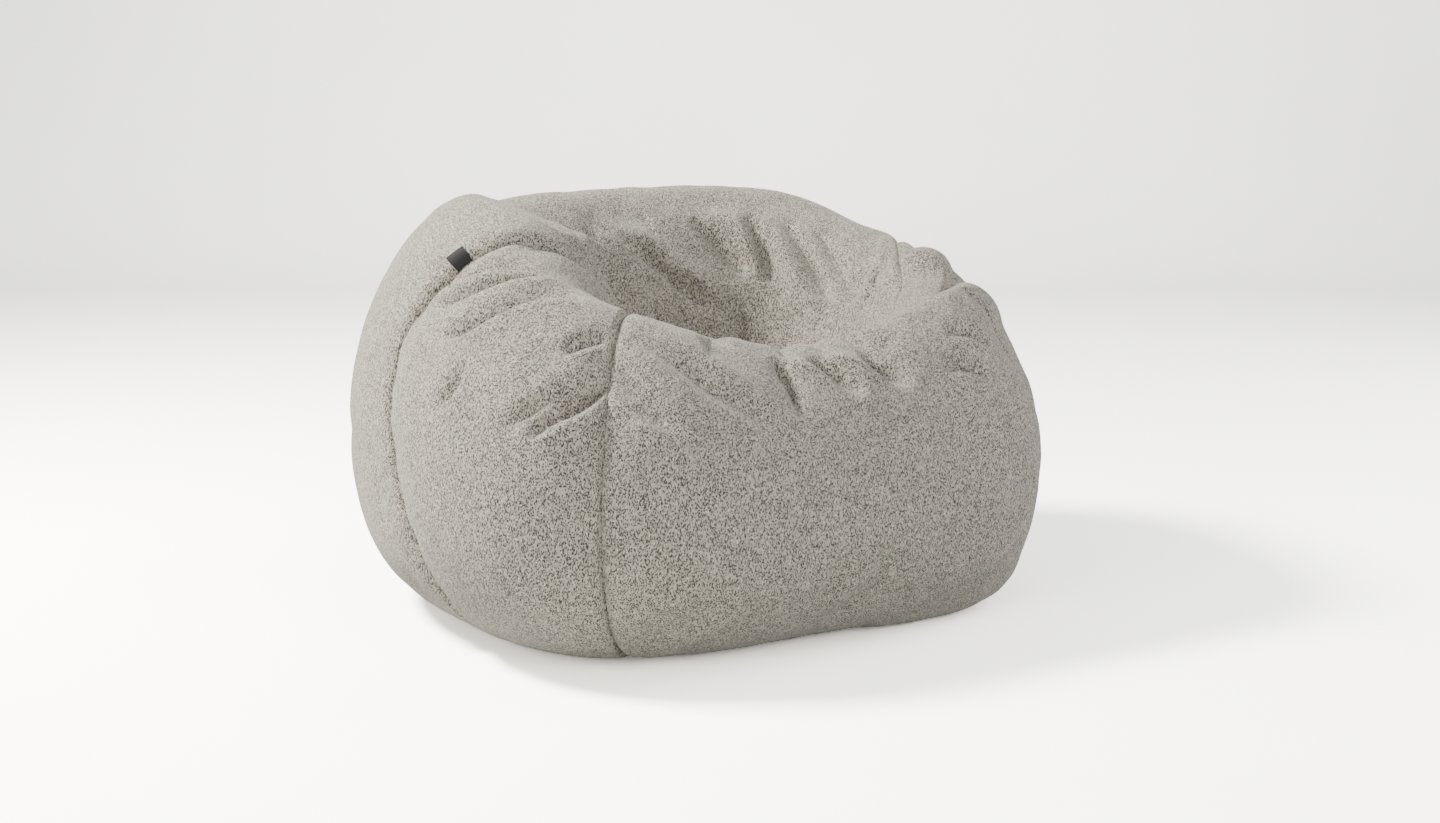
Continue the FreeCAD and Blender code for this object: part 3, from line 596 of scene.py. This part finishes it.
def settle_cover():
    """Blow the cover up a little as slightly oversized cloth held at its seams, and keep its wrinkles."""
    places = even_places(0, LAST_PLACE, 270, SETTLE_CELL)
    azimuths = np.arange(SETTLE_COLUMNS) * 360 / SETTLE_COLUMNS
    spread = np.broadcast_to(places[:, None], (len(places), len(azimuths)))
    points, normals = wall_with_normals(spread, azimuths)
    free = free_share(points, spread)
    rest = points + normals * (folds_at(points, spread) * free)[..., None]
    cover = capped_tube("settling_cover", rest)
    held = free < 0.05
    for seam in (BACK_LEFT_SEAM, FRONT_LEFT_SEAM, FRONT_RIGHT_SEAM, BACK_RIGHT_SEAM):
        held[:, round(seam % 360 / 360 * SETTLE_COLUMNS) % SETTLE_COLUMNS] = True
    count = held.size
    pins = cover.vertex_groups.new(name="held")
    pins.add(np.flatnonzero(held.ravel()).tolist() + [count, count + 1], 1.0, "REPLACE")
    cloth = cover.modifiers.new("cloth", "CLOTH").settings
    cloth.quality = 6
    cloth.mass = 0.3
    cloth.tension_stiffness = 15
    cloth.compression_stiffness = 15
    cloth.shear_stiffness = 5
    cloth.bending_stiffness = 0.6
    cloth.use_pressure = True
    cloth.uniform_pressure_force = SETTLE_PRESSURE
    cloth.shrink_min = -SETTLE_EXTRA
    cloth.vertex_group_mass = "held"
    cloth.effector_weights.gravity = 0
    scene = bpy.context.scene
    for frame_number in range(1, SETTLE_FRAMES + 1):
        scene.frame_set(frame_number)
    posed = cover.evaluated_get(bpy.context.evaluated_depsgraph_get())
    found = np.array([vertex.co for vertex in posed.data.vertices][:count]).reshape(rest.shape)
    scene.frame_set(1)
    bpy.data.objects.remove(cover, do_unlink=True)
    moves = found - rest
    # Most of the slow swelling is taken out, which leaves the wrinkles. They fade near the floor
    # and in the hollow.
    moves -= SETTLE_SWELLING * smoothed(moves, SETTLE_BLUR)
    length = np.linalg.norm(moves, axis=-1, keepdims=True)
    moves *= SETTLE_CAP / np.maximum(length, SETTLE_CAP)
    moves *= np.interp(spread, *SETTLE_FADE)[..., None]
    settled["places"] = places
    settled["moves"] = moves


# ---- Mesh building ----
def mesh_object(name, points, faces, smooth_limit=60):
    """A new object from points and outward faces, shaded smooth except at edges over the limit."""
    mesh = bpy.data.meshes.new(name)
    mesh.from_pydata(np.asarray(points, float).tolist(), [], faces)
    mesh.validate()
    mesh.polygons.foreach_set("use_smooth", [True] * len(mesh.polygons))
    mesh.set_sharp_from_angle(angle=math.radians(smooth_limit))
    obj = bpy.data.objects.new(name, mesh)
    bpy.context.scene.collection.objects.link(obj)
    return obj


def grid_faces(rows, columns, start, flip, closed=False):
    """Quads over a grid of points."""
    faces = []
    for i in range(rows - 1):
        for j in range(columns if closed else columns - 1):
            k = (j + 1) % columns
            face = [start + i * columns + j, start + i * columns + k]
            face += [start + (i + 1) * columns + k, start + (i + 1) * columns + j]
            faces.append(face[::-1] if flip else face)
    return faces


def shell(name, outer, inner):
    """A closed sheet between two matching grids of points."""
    rows, columns = outer.shape[:2]
    size = rows * columns
    points = np.concatenate([outer.reshape(-1, 3), inner.reshape(-1, 3)])
    faces = grid_faces(rows, columns, 0, False) + grid_faces(rows, columns, size, True)
    rim = list(range(columns))
    rim += [i * columns + columns - 1 for i in range(1, rows)]
    rim += [(rows - 1) * columns + j for j in range(columns - 2, -1, -1)]
    rim += [i * columns for i in range(rows - 2, 0, -1)]
    for a, b in zip(rim, rim[1:] + rim[:1]):
        faces.append([b, a, a + size, b + size])
    return mesh_object(name, points, faces)


def finish_piece(obj, material, node):
    """Give a piece its material and its place in the frame."""
    obj.data.materials.clear()
    obj.data.materials.append(material)
    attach(obj, "bag")
    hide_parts(node)


def zip_line_places(azimuths):
    """The place of the cover zip's line at each azimuth."""
    fine = np.linspace(0.3, 3, 500)
    heights = wall(fine[:, None] * np.ones(len(azimuths)), azimuths)[..., 2]
    return np.array([np.interp(ZIP_HEIGHT, heights[:, j], fine) for j in range(len(azimuths))])


def zip_edge_places(azimuths, side):
    """The place of the panel edge above or below the zip, drawn aside where the zip lies."""
    line = zip_line_places(azimuths)
    step = 0.02
    low = wall((line - step)[None, :], azimuths)[0]
    high = wall((line + step)[None, :], azimuths)[0]
    pace = np.linalg.norm(high - low, axis=-1) / (2 * step)
    across = np.abs(wall(line[None, :], azimuths)[0][:, 0] - ZIP_CENTRE_X)
    opening = ZIP_OPENING * (1 - step_between(ZIP_HALF_LENGTH - ZIP_CLOSING, ZIP_HALF_LENGTH, across))
    return line + side * (opening + HEM_GAP) / pace


def panel_grid(first, last, low, high, cell):
    """Places and azimuths of one panel's grid; low and high are places for each azimuth."""
    azimuths = seam_columns(first, last, cell)
    low = low(azimuths) if callable(low) else np.full(len(azimuths), float(low))
    high = high(azimuths) if callable(high) else np.full(len(azimuths), float(high))
    spread = even_places(low.mean(), high.mean(), (first + last) / 2, cell)
    share = (spread - spread[0]) / (spread[-1] - spread[0])
    return low + share[:, None] * (high - low), azimuths


def cover_pieces(fabric):
    """The five wall panels."""
    full = (0, LAST_PLACE)
    upper = (lambda a: zip_edge_places(a, 1), LAST_PLACE)
    lower = (0, lambda a: zip_edge_places(a, -1))
    panels = {
        "left_gusset": (BACK_LEFT_SEAM, FRONT_LEFT_SEAM, full, 0.7),
        "front_panel": (FRONT_LEFT_SEAM, FRONT_RIGHT_SEAM, full, 0.75),
        "right_gusset": (FRONT_RIGHT_SEAM, BACK_RIGHT_SEAM, full, 0.7),
        "back_panel": (BACK_RIGHT_SEAM - 360, BACK_LEFT_SEAM, upper, 0.75),
        "back_hem_panel": (BACK_RIGHT_SEAM - 360, BACK_LEFT_SEAM, lower, 0.8),
    }
    for node, (first, last, (low, high), fill) in panels.items():
        cell = BACK_CELL if "back" in node else CELL
        places, azimuths = panel_grid(first, last, low, high, cell)
        outer, normals = cloth_surface(places, azimuths)
        inner = outer - normals * CLOTH_THICKNESS
        inner[..., 2] = np.maximum(inner[..., 2], 0.0002)
        outer[..., 2] = np.maximum(outer[..., 2], 0)
        piece = shell(f"{node}_cloth", outer, inner)
        finish_piece(piece, fabric, node)


def disc(name, rim, bottom, top, rings, dome):
    """A closed round piece inside a rim line, with a slightly domed top."""
    centre = rim.mean(0)
    count = len(rim)
    points = []
    for level, rise in ((top, dome), (bottom, 0)):
        for share in np.linspace(1, 0, rings + 1)[:-1]:
            ring = centre + (rim - centre) * share
            ring[:, 2] = level + rise * (1 - share**2)
            points.extend(ring.tolist())
        points.append([centre[0], centre[1], level + rise])
    half = len(points) // 2
    faces = []
    for start, flip in ((0, False), (half, True)):
        faces += grid_faces(rings, count, start, flip, closed=True)
        last = start + (rings - 1) * count
        tip = start + rings * count
        for j in range(count):
            face = [last + j, last + (j + 1) % count, tip]
            faces.append(face[::-1] if flip else face)
    for j in range(count):
        k = (j + 1) % count
        faces.append([j, half + j, half + k, k])
    return mesh_object(name, points, faces)


# ---- Materials ----
class Paint:
    """A material's nodes, with short ways to add and join them."""

    def __init__(self, name):
        self.material = bpy.data.materials.new(name)
        self.material.use_nodes = True
        self.tree = self.material.node_tree
        self.tree.nodes.clear()
        self.shader = self.add("ShaderNodeBsdfPrincipled")
        self.add("ShaderNodeOutputMaterial", {"Surface": self.shader.outputs["BSDF"]})
        self.place = self.add("ShaderNodeTexCoord").outputs["Object"]

    def add(self, kind, inputs=None, **settings):
        """A new node with its inputs, and settings such as the operation of a math node."""
        node = self.tree.nodes.new(kind)
        for key, value in settings.items():
            setattr(node, key, value)
        self.fill(node, inputs or {})
        return node

    def fill(self, node, inputs):
        """Give inputs their values; an output of another node is joined."""
        for socket, value in inputs.items():
            if hasattr(value, "is_output"):
                self.tree.links.new(value, node.inputs[socket])
            else:
                node.inputs[socket].default_value = value

    def stretched(self, scale, turn=(0, 0, 0)):
        radians = [math.radians(a) for a in turn]
        inputs = {"Vector": self.place, "Rotation": radians, "Scale": scale}
        return self.add("ShaderNodeMapping", inputs).outputs["Vector"]

    def noise(self, vector, scale, detail=2.0, roughness=0.5):
        inputs = {"Vector": vector, "Scale": scale, "Detail": detail, "Roughness": roughness}
        return self.add("ShaderNodeTexNoise", inputs).outputs["Fac"]

    def cells(self, vector, scale):
        return self.add("ShaderNodeTexVoronoi", {"Vector": vector, "Scale": scale})

    def math(self, operation, first, second):
        return self.add("ShaderNodeMath", {0: first, 1: second}, operation=operation).outputs[0]

    def span(self, value, low, high, to_low=0.0, to_high=1.0):
        inputs = {"Value": value, "From Min": low, "From Max": high, "To Min": to_low, "To Max": to_high}
        node = self.add("ShaderNodeMapRange", inputs, interpolation_type="SMOOTHSTEP")
        return node.outputs["Result"]

    def mix(self, share, first, second):
        return self.add("ShaderNodeMix", {0: share, 6: first, 7: second}, data_type="RGBA").outputs[2]

    def bump(self, height, depth, strength):
        inputs = {"Height": height, "Distance": depth, "Strength": strength}
        return self.add("ShaderNodeBump", inputs).outputs["Normal"]

    def surface(self, colour, roughness, normal=None, metallic=0.0):
        self.fill(self.shader, {"Base Color": colour, "Roughness": roughness, "Metallic": metallic})
        if normal is not None:
            self.fill(self.shader, {"Normal": normal})
        return self.material


def boucle():
    """Looped wool-like cloth: pale loops with painted shade and small dark flecks between them."""
    paint = Paint("boucle_cloth")
    flecks = 0.0
    for turn, offset, scale in FLECK_LAYERS:
        inputs = {0: paint.stretched((1.0, 1.0, 0.50), turn), 1: (offset, offset, offset)}
        shifted = paint.add("ShaderNodeVectorMath", inputs, operation="ADD")
        cell = paint.cells(shifted.outputs[0], scale)
        picked = paint.add("ShaderNodeSeparateColor", {"Color": cell.outputs["Color"]})
        chosen = paint.span(picked.outputs["Red"], 0.45, 0.48, 1.0, 0.0)
        spot = paint.span(cell.outputs["Distance"], 0.32, 0.52, 1.0, 0.0)
        flecks = paint.math("MAXIMUM", paint.math("MULTIPLY", chosen, spot), flecks)
    # A few cells of the last layer are pale glints.
    bright = paint.span(picked.outputs["Green"], 0.90, 0.93)
    glints = paint.math("MULTIPLY", bright, spot)
    loops = paint.cells(paint.stretched((1, 1, 0.8)), 330)
    loop_height = paint.span(loops.outputs["Distance"], 0.1, 0.75, 1.0, 0.0)
    fuzz = paint.noise(paint.place, 700, 3.0, 0.6)
    patches = paint.noise(paint.place, 9, 2.0)
    tint = paint.noise(paint.stretched((1, 1, 1), (40, 10, 0)), 26, 2.0)
    pale = paint.mix(paint.span(tint, 0.42, 0.6), (0.432, 0.400, 0.334, 1), (0.416, 0.404, 0.334, 1))
    pale = paint.mix(paint.span(patches, 0.35, 0.65), pale, (0.462, 0.424, 0.358, 1))
    # Where loop_height is low, between the loops, the cloth is painted darker: painted shade between the
    # loops.
    pale = paint.mix(paint.span(loop_height, 0, 1, 0.4, 0.0), pale, (0.13, 0.12, 0.10, 1))
    pale = paint.mix(paint.span(fuzz, 0.35, 0.7, 0.15, 0.0), pale, (0.15, 0.14, 0.12, 1))
    pale = paint.mix(paint.span(glints, 0, 1, 0.0, 0.8), pale, (0.76, 0.73, 0.66, 1))
    colour = paint.mix(paint.span(flecks, 0, 1, 0.0, 0.95), pale, (0.026, 0.025, 0.024, 1))
    lumps = paint.math("SUBTRACT", loop_height, paint.math("MULTIPLY", flecks, 1.1))
    lumps = paint.math("ADD", lumps, paint.math("MULTIPLY", fuzz, 0.5))
    normal = paint.bump(lumps, 0.0007, 0.7)
    sheen = {"Sheen Weight": 0.22, "Sheen Roughness": 0.55, "Sheen Tint": (0.95, 0.93, 0.90, 1)}
    paint.fill(paint.shader, {**sheen, "Specular IOR Level": 0.25})
    return paint.surface(colour, 0.92, normal)


def woven(name, colour, shade, scale, roughness=0.85, depth=0.0003):
    """A plain close weave in one colour."""
    paint = Paint(name)
    up = paint.noise(paint.stretched((1, 1, 6)), scale, 1.0)
    across = paint.noise(paint.stretched((6, 6, 1)), scale, 1.0)
    threads = paint.math("MAXIMUM", up, across)
    patches = paint.noise(paint.place, 30, 2.0)
    mixed = paint.mix(paint.span(threads, 0.45, 0.7), shade, colour)
    mixed = paint.mix(paint.span(patches, 0.3, 0.7, 0.0, 0.25), mixed, shade)
    normal = paint.bump(threads, depth, 0.8)
    return paint.surface(mixed, roughness, normal)


def metal(name, colour, roughness):
    """A plated metal with fine wear."""
    paint = Paint(name)
    scratches = paint.noise(paint.stretched((1, 1, 9), (20, 0, 35)), 900, 3.0)
    rough = paint.span(scratches, 0.3, 0.7, roughness * 0.8, roughness * 1.5)
    worn = [c * 0.6 for c in colour[:3]] + [1]
    dull = paint.mix(paint.span(scratches, 0.4, 0.8, 0.0, 0.35), colour, worn)
    return paint.surface(dull, rough, paint.bump(scratches, 0.00005, 0.4), metallic=1.0)


def base_piece(material):
    """The round base cloth that the chair stands on."""
    azimuths = np.arange(0, 360, 1.5)
    rim = wall(np.zeros((1, len(azimuths))), azimuths)[0]
    centre = rim.mean(0)
    rim = centre + (rim - centre) * 0.998
    piece = disc("base_panel_cloth", rim, bottom=0.0, top=0.0028, rings=24, dome=0.0)
    finish_piece(piece, material, "base_panel")


def crown_piece(material):
    """The small round patch where the wall panels meet in the hollow."""
    azimuths = np.arange(0, 360, 4.0)
    rim = wall(np.full((1, len(azimuths)), float(LAST_PLACE)), azimuths)[0]
    level = rim[:, 2].mean()
    centre = rim.mean(0)
    rim = centre + (rim - centre) * 0.985
    piece = disc("crown_patch_cloth", rim, bottom=level - 0.003, top=level - 0.0004, rings=10, dome=0.004)
    finish_piece(piece, material, "crown_patch")


def liner_gore(node, first, last, material):
    """One gore of the liner, lying under the cover's folds."""
    places, azimuths = panel_grid(first, last, 0, LAST_PLACE, INNER_CELL)
    outer, normals = cloth_surface(places, azimuths)
    near, far = LINER_DEPTHS
    piece = shell(f"{node}_cloth", outer - normals * near, outer - normals * far)
    finish_piece(piece, material, node)


def seam_tape(node, seam, material):
    """The tape sewn inside a wall seam, which follows the seam down into its groove."""
    azimuths = seam + np.array([-0.6, -0.42, -0.24, -0.1, 0, 0.1, 0.24, 0.42, 0.6])
    places = even_places(0, LAST_PLACE, seam, CELL)[:, None] * np.ones(len(azimuths))
    outer, normals = cloth_surface(places, azimuths)
    near, far = TAPE_DEPTHS
    piece = shell(f"{node}_ribbon", outer - normals * near, outer - normals * far)
    finish_piece(piece, material, node)


def bead_body(material):
    """The beads as one closed body under the liner, with its folds."""
    azimuths = np.arange(0, 360, 1.4)
    places = even_places(0, LAST_PLACE, 270, INNER_CELL)[:, None] * np.ones(len(azimuths))
    outer, normals = cloth_surface(places, azimuths)
    piece = capped_tube("bead_fill_body", outer - normals * BEAD_DEPTH)
    finish_piece(piece, material, "bead_fill")


def zip_place():
    """The cover zip's middle point, its up and outward directions and the radius of its arc."""
    fine = np.linspace(0.3, 3, 2000)
    line = wall(fine[:, None], np.array([90.0]))[:, 0]
    place = np.interp(ZIP_HEIGHT, line[:, 2], fine)
    point, ahead = wall(np.array([[place], [place + 0.01]]), np.array([90.0]))[:, 0]
    up = np.array([0, ahead[1] - point[1], ahead[2] - point[2]])
    up /= np.linalg.norm(up)
    out = np.array([0, up[2], -up[1]])
    radius = (point[1] - PLAN_SHIFT[1]) / BACK_REACH * BACK_RADIUS
    return np.array([PLAN_SHIFT[0], point[1], point[2]]), up, out, radius


def along_zip(along, across, out):
    """Points given along the cover zip, across it and out of it."""
    point, up, outward, radius = zip_place()
    straight = point + across[:, None] * up + out[:, None] * outward
    centre = point[1] - radius
    turn = along / radius
    reach = straight[:, 1] - centre
    return np.stack([point[0] - reach * np.sin(turn), centre + reach * np.cos(turn), straight[:, 2]], 1)


def coil_piece(node, side, material):
    """One side of the cover zip: a nylon thread wound into teeth."""
    turns = round(2 * COIL_HALF_LENGTH / COIL_PITCH)
    angle = np.linspace(0, 2 * math.pi * turns, turns * COIL_POINTS + 1)
    along = -COIL_HALF_LENGTH + angle / (2 * math.pi) * COIL_PITCH
    across = side * (COIL_MIDDLE[0] - COIL_REACH[0] * np.cos(angle))
    path = along_zip(along, across, COIL_MIDDLE[1] + COIL_REACH[1] * np.sin(angle))
    ahead = np.gradient(path, axis=0)
    ahead /= np.linalg.norm(ahead, axis=1, keepdims=True)
    aside = np.cross(ahead, np.gradient(ahead, axis=0))
    aside /= np.linalg.norm(aside, axis=1, keepdims=True)
    rise = np.cross(ahead, aside)
    rings = []
    for k in range(6):
        turn = math.pi * k / 3
        rings.append(path + THREAD_RADIUS * (aside * math.cos(turn) + rise * math.sin(turn)))
    points = np.stack(rings, 1)
    rows = len(path)
    faces = grid_faces(rows, 6, 0, False, closed=True)
    faces.append(list(range(5, -1, -1)))
    faces.append([(rows - 1) * 6 + k for k in range(6)])
    piece = mesh_object(f"{node}_thread", points.reshape(-1, 3), faces)
    finish_piece(piece, material, node)


def label_section():
    """The folded ribbon's two faces, as distance from the seam and height over the cloth."""
    leaf = LABEL_LEAF
    straight = LABEL_DROP - 2 * leaf
    run = np.linspace(0, straight, 10)
    outer = [(d, 0) for d in run]
    inner = [(d, leaf) for d in run]
    for k in range(1, 6):
        turn = math.pi * k / 6
        for side, radius in ((outer, 1.5 * leaf), (inner, 0.5 * leaf)):
            side.append((straight + radius * math.sin(turn), 1.5 * leaf - radius * math.cos(turn)))
    outer += [(d, 3 * leaf) for d in run[::-1]]
    inner += [(d, 2 * leaf) for d in run[::-1]]
    return np.array(outer), np.array(inner)


def label_piece(material):
    """A ribbon folded in two, sewn into the back-left seam and lying over the back panel."""
    middle = wall(np.array([[LABEL_PLACE]]), np.array([float(BACK_LEFT_SEAM)]))[0, 0]
    beside = wall(np.array([[LABEL_PLACE]]), np.array([BACK_LEFT_SEAM - 1.0]))[0, 0]
    above = wall(np.array([[LABEL_PLACE + 0.1]]), np.array([float(BACK_LEFT_SEAM)]))[0, 0]
    half = 0.1 * LABEL_LENGTH / 2 / np.linalg.norm(above - middle)
    places = LABEL_PLACE + np.linspace(-half, half, 13)
    faces = []
    for section in label_section():
        azimuths = BACK_LEFT_SEAM - 0.1 - section[:, 0] / np.linalg.norm(beside - middle)
        cloth, normals = cloth_surface(places[:, None], azimuths)
        lift = LABEL_LIFT + section[:, 1] + LABEL_SPRING * section[:, 0]
        faces.append(cloth + normals * lift[:, None])
    piece = shell("woven_label_ribbon", faces[0], faces[1])
    finish_piece(piece, material, "woven_label")


def foam_beads():
    """White expanded beads, packed close, with painted shade in the gaps between them."""
    paint = Paint("foam_beads")
    cell = paint.cells(paint.place, 260)
    ball = paint.span(cell.outputs["Distance"], 0.0, 0.6, 1.0, 0.0)
    # Each bead is painted grey towards its rim: painted shade in the gaps between the beads.
    colour = paint.mix(ball, (0.55, 0.55, 0.54, 1), (0.86, 0.86, 0.85, 1))
    return paint.surface(colour, 0.6, paint.bump(ball, 0.002, 0.8))


# ---- Stage ----
def studio_paper():
    """Pale paper, lit hard enough to look almost white without lighting the chair from below."""
    paint = Paint("studio_paper")
    drift = paint.noise(paint.place, 1.5, 2.0)
    seen = paint.mix(paint.span(drift, 0.3, 0.7), (3.20, 3.20, 3.03, 1), (3.12, 3.12, 2.95, 1))
    path = paint.add("ShaderNodeLightPath")
    colour = paint.mix(path.outputs["Is Camera Ray"], (0.55, 0.55, 0.53, 1), seen)
    return paint.surface(colour, 0.9)


def floor_and_wall():
    """A pale floor that curves up into a wall behind the chair."""
    azimuth = math.radians(CAMERA_AZIMUTH)
    ahead = np.array([-math.sin(azimuth), math.cos(azimuth)])
    aside = np.array([ahead[1], -ahead[0]])
    profile = [(-7.0, 0.0)]
    for k in range(13):
        turn = math.radians(90 * k / 12)
        forward = FLOOR_DEPTH + FLOOR_CURVE * math.sin(turn)
        profile.append((forward, FLOOR_CURVE * (1 - math.cos(turn))))
    profile.append((FLOOR_DEPTH + FLOOR_CURVE, 7.0))
    points = []
    for forward, height in profile:
        for side in (-9.0, 9.0):
            spot = ahead * forward + aside * side
            points.append((spot[0], spot[1], height))
    faces = []
    for i in range(len(profile) - 1):
        faces.append([2 * i + 1, 2 * i, 2 * i + 2, 2 * i + 3])
    backdrop = mesh_object("backdrop", points, faces, 180)
    backdrop.data.materials.append(studio_paper())
    backdrop.location.z = -0.0005


def area_light(name, azimuth, elevation, distance, size, power, colour):
    """A soft square light aimed at the chair from an azimuth and elevation."""
    light = bpy.data.lights.new(name, "AREA")
    light.shape = "SQUARE"
    light.size = size
    light.energy = power
    light.color = colour
    lamp = bpy.data.objects.new(name, light)
    a = math.radians(azimuth)
    e = math.radians(elevation)
    aim = Vector((0, 0, 0.3))
    place = Vector((math.cos(a) * math.cos(e), math.sin(a) * math.cos(e), math.sin(e)))
    lamp.location = aim + place * distance
    lamp.rotation_euler = (-place).to_track_quat("-Z", "Y").to_euler()
    bpy.context.scene.collection.objects.link(lamp)


def lights():
    """Studio light: a small key from the upper left, three broad soft lights and a bright room."""
    for light in LIGHTS:
        area_light(*light)
    world = bpy.data.worlds.new("room")
    world.use_nodes = True
    room = world.node_tree.nodes["Background"]
    room.inputs["Color"].default_value = (0.95, 0.97, 1.0, 1)
    room.inputs["Strength"].default_value = 0.40
    bpy.context.scene.world = world


def camera():
    """The camera: left of the front, a little above the chair."""
    azimuth = math.radians(CAMERA_AZIMUTH)
    elevation = math.radians(CAMERA_ELEVATION)
    level = math.cos(elevation)
    back = Vector((math.sin(azimuth) * level, -math.cos(azimuth) * level, math.sin(elevation)))
    data = bpy.data.cameras.new("camera")
    data.lens = 50
    data.sensor_width = 36
    eye = bpy.data.objects.new("camera", data)
    eye.location = Vector(CAMERA_TARGET) + back * CAMERA_DISTANCE
    eye.rotation_euler = (-back).to_track_quat("-Z", "Y").to_euler()
    bpy.context.scene.collection.objects.link(eye)
    bpy.context.scene.camera = eye


def paint_node(node, material):
    """Give a CAD node that stays in view its material."""
    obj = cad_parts[node]
    obj.data.materials.clear()
    obj.data.materials.append(material)


cover_cloth = boucle()
base_cloth = woven("base_cloth", (0.035, 0.034, 0.033, 1), (0.015, 0.015, 0.015, 1), 700)
# The tape cloth is painted dark: painted shade where it shows in the seam gaps between the panels.
tape_cloth_painted_shade = woven("tape_cloth_painted_shade", (0.20, 0.19, 0.175, 1), (0.13, 0.125, 0.115, 1), 900)
liner_cloth = woven("liner_cloth", (0.62, 0.61, 0.58, 1), (0.48, 0.47, 0.45, 1), 1200)
ribbon = woven("label_ribbon", (0.012, 0.0125, 0.014, 1), (0.006, 0.006, 0.007, 1), 2200, 0.8, 0.0001)
zip_metal = metal("zip_metal", (0.42, 0.41, 0.40, 1), 0.3)
coil = woven("coil_nylon", (0.30, 0.29, 0.27, 1), (0.2, 0.19, 0.18, 1), 1500, 0.45, 0.0001)

settle_cover()
cover_pieces(cover_cloth)
base_piece(base_cloth)
crown_piece(cover_cloth)
gores = {
    "left": (BACK_LEFT_SEAM, FRONT_LEFT_SEAM),
    "front": (FRONT_LEFT_SEAM, FRONT_RIGHT_SEAM),
    "right": (FRONT_RIGHT_SEAM, BACK_RIGHT_SEAM),
    "back": (BACK_RIGHT_SEAM - 360, BACK_LEFT_SEAM),
}
for side, (first, last) in gores.items():
    liner_gore(f"liner_{side}_gore", first, last, liner_cloth)
bead_body(foam_beads())
seams = {
    "back_left": BACK_LEFT_SEAM,
    "front_left": FRONT_LEFT_SEAM,
    "front_right": FRONT_RIGHT_SEAM,
    "back_right": BACK_RIGHT_SEAM,
}
for side, seam in seams.items():
    seam_tape(f"seam_tape_{side}", seam, tape_cloth_painted_shade)
coil_piece("zip_coil_upper", 1, coil)
coil_piece("zip_coil_lower", -1, coil)
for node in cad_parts:
    if node == "seam_tape_base" or "zip_tape" in node:
        paint_node(node, tape_cloth_painted_shade)
    elif "liner_zip_coil" in node:
        paint_node(node, coil)
    elif "stops" in node or "slider" in node or "pull" in node:
        paint_node(node, zip_metal)
    elif node in ("liner_base", "liner_crown"):
        paint_node(node, liner_cloth)
label_piece(ribbon)

floor_and_wall()
lights()
camera()
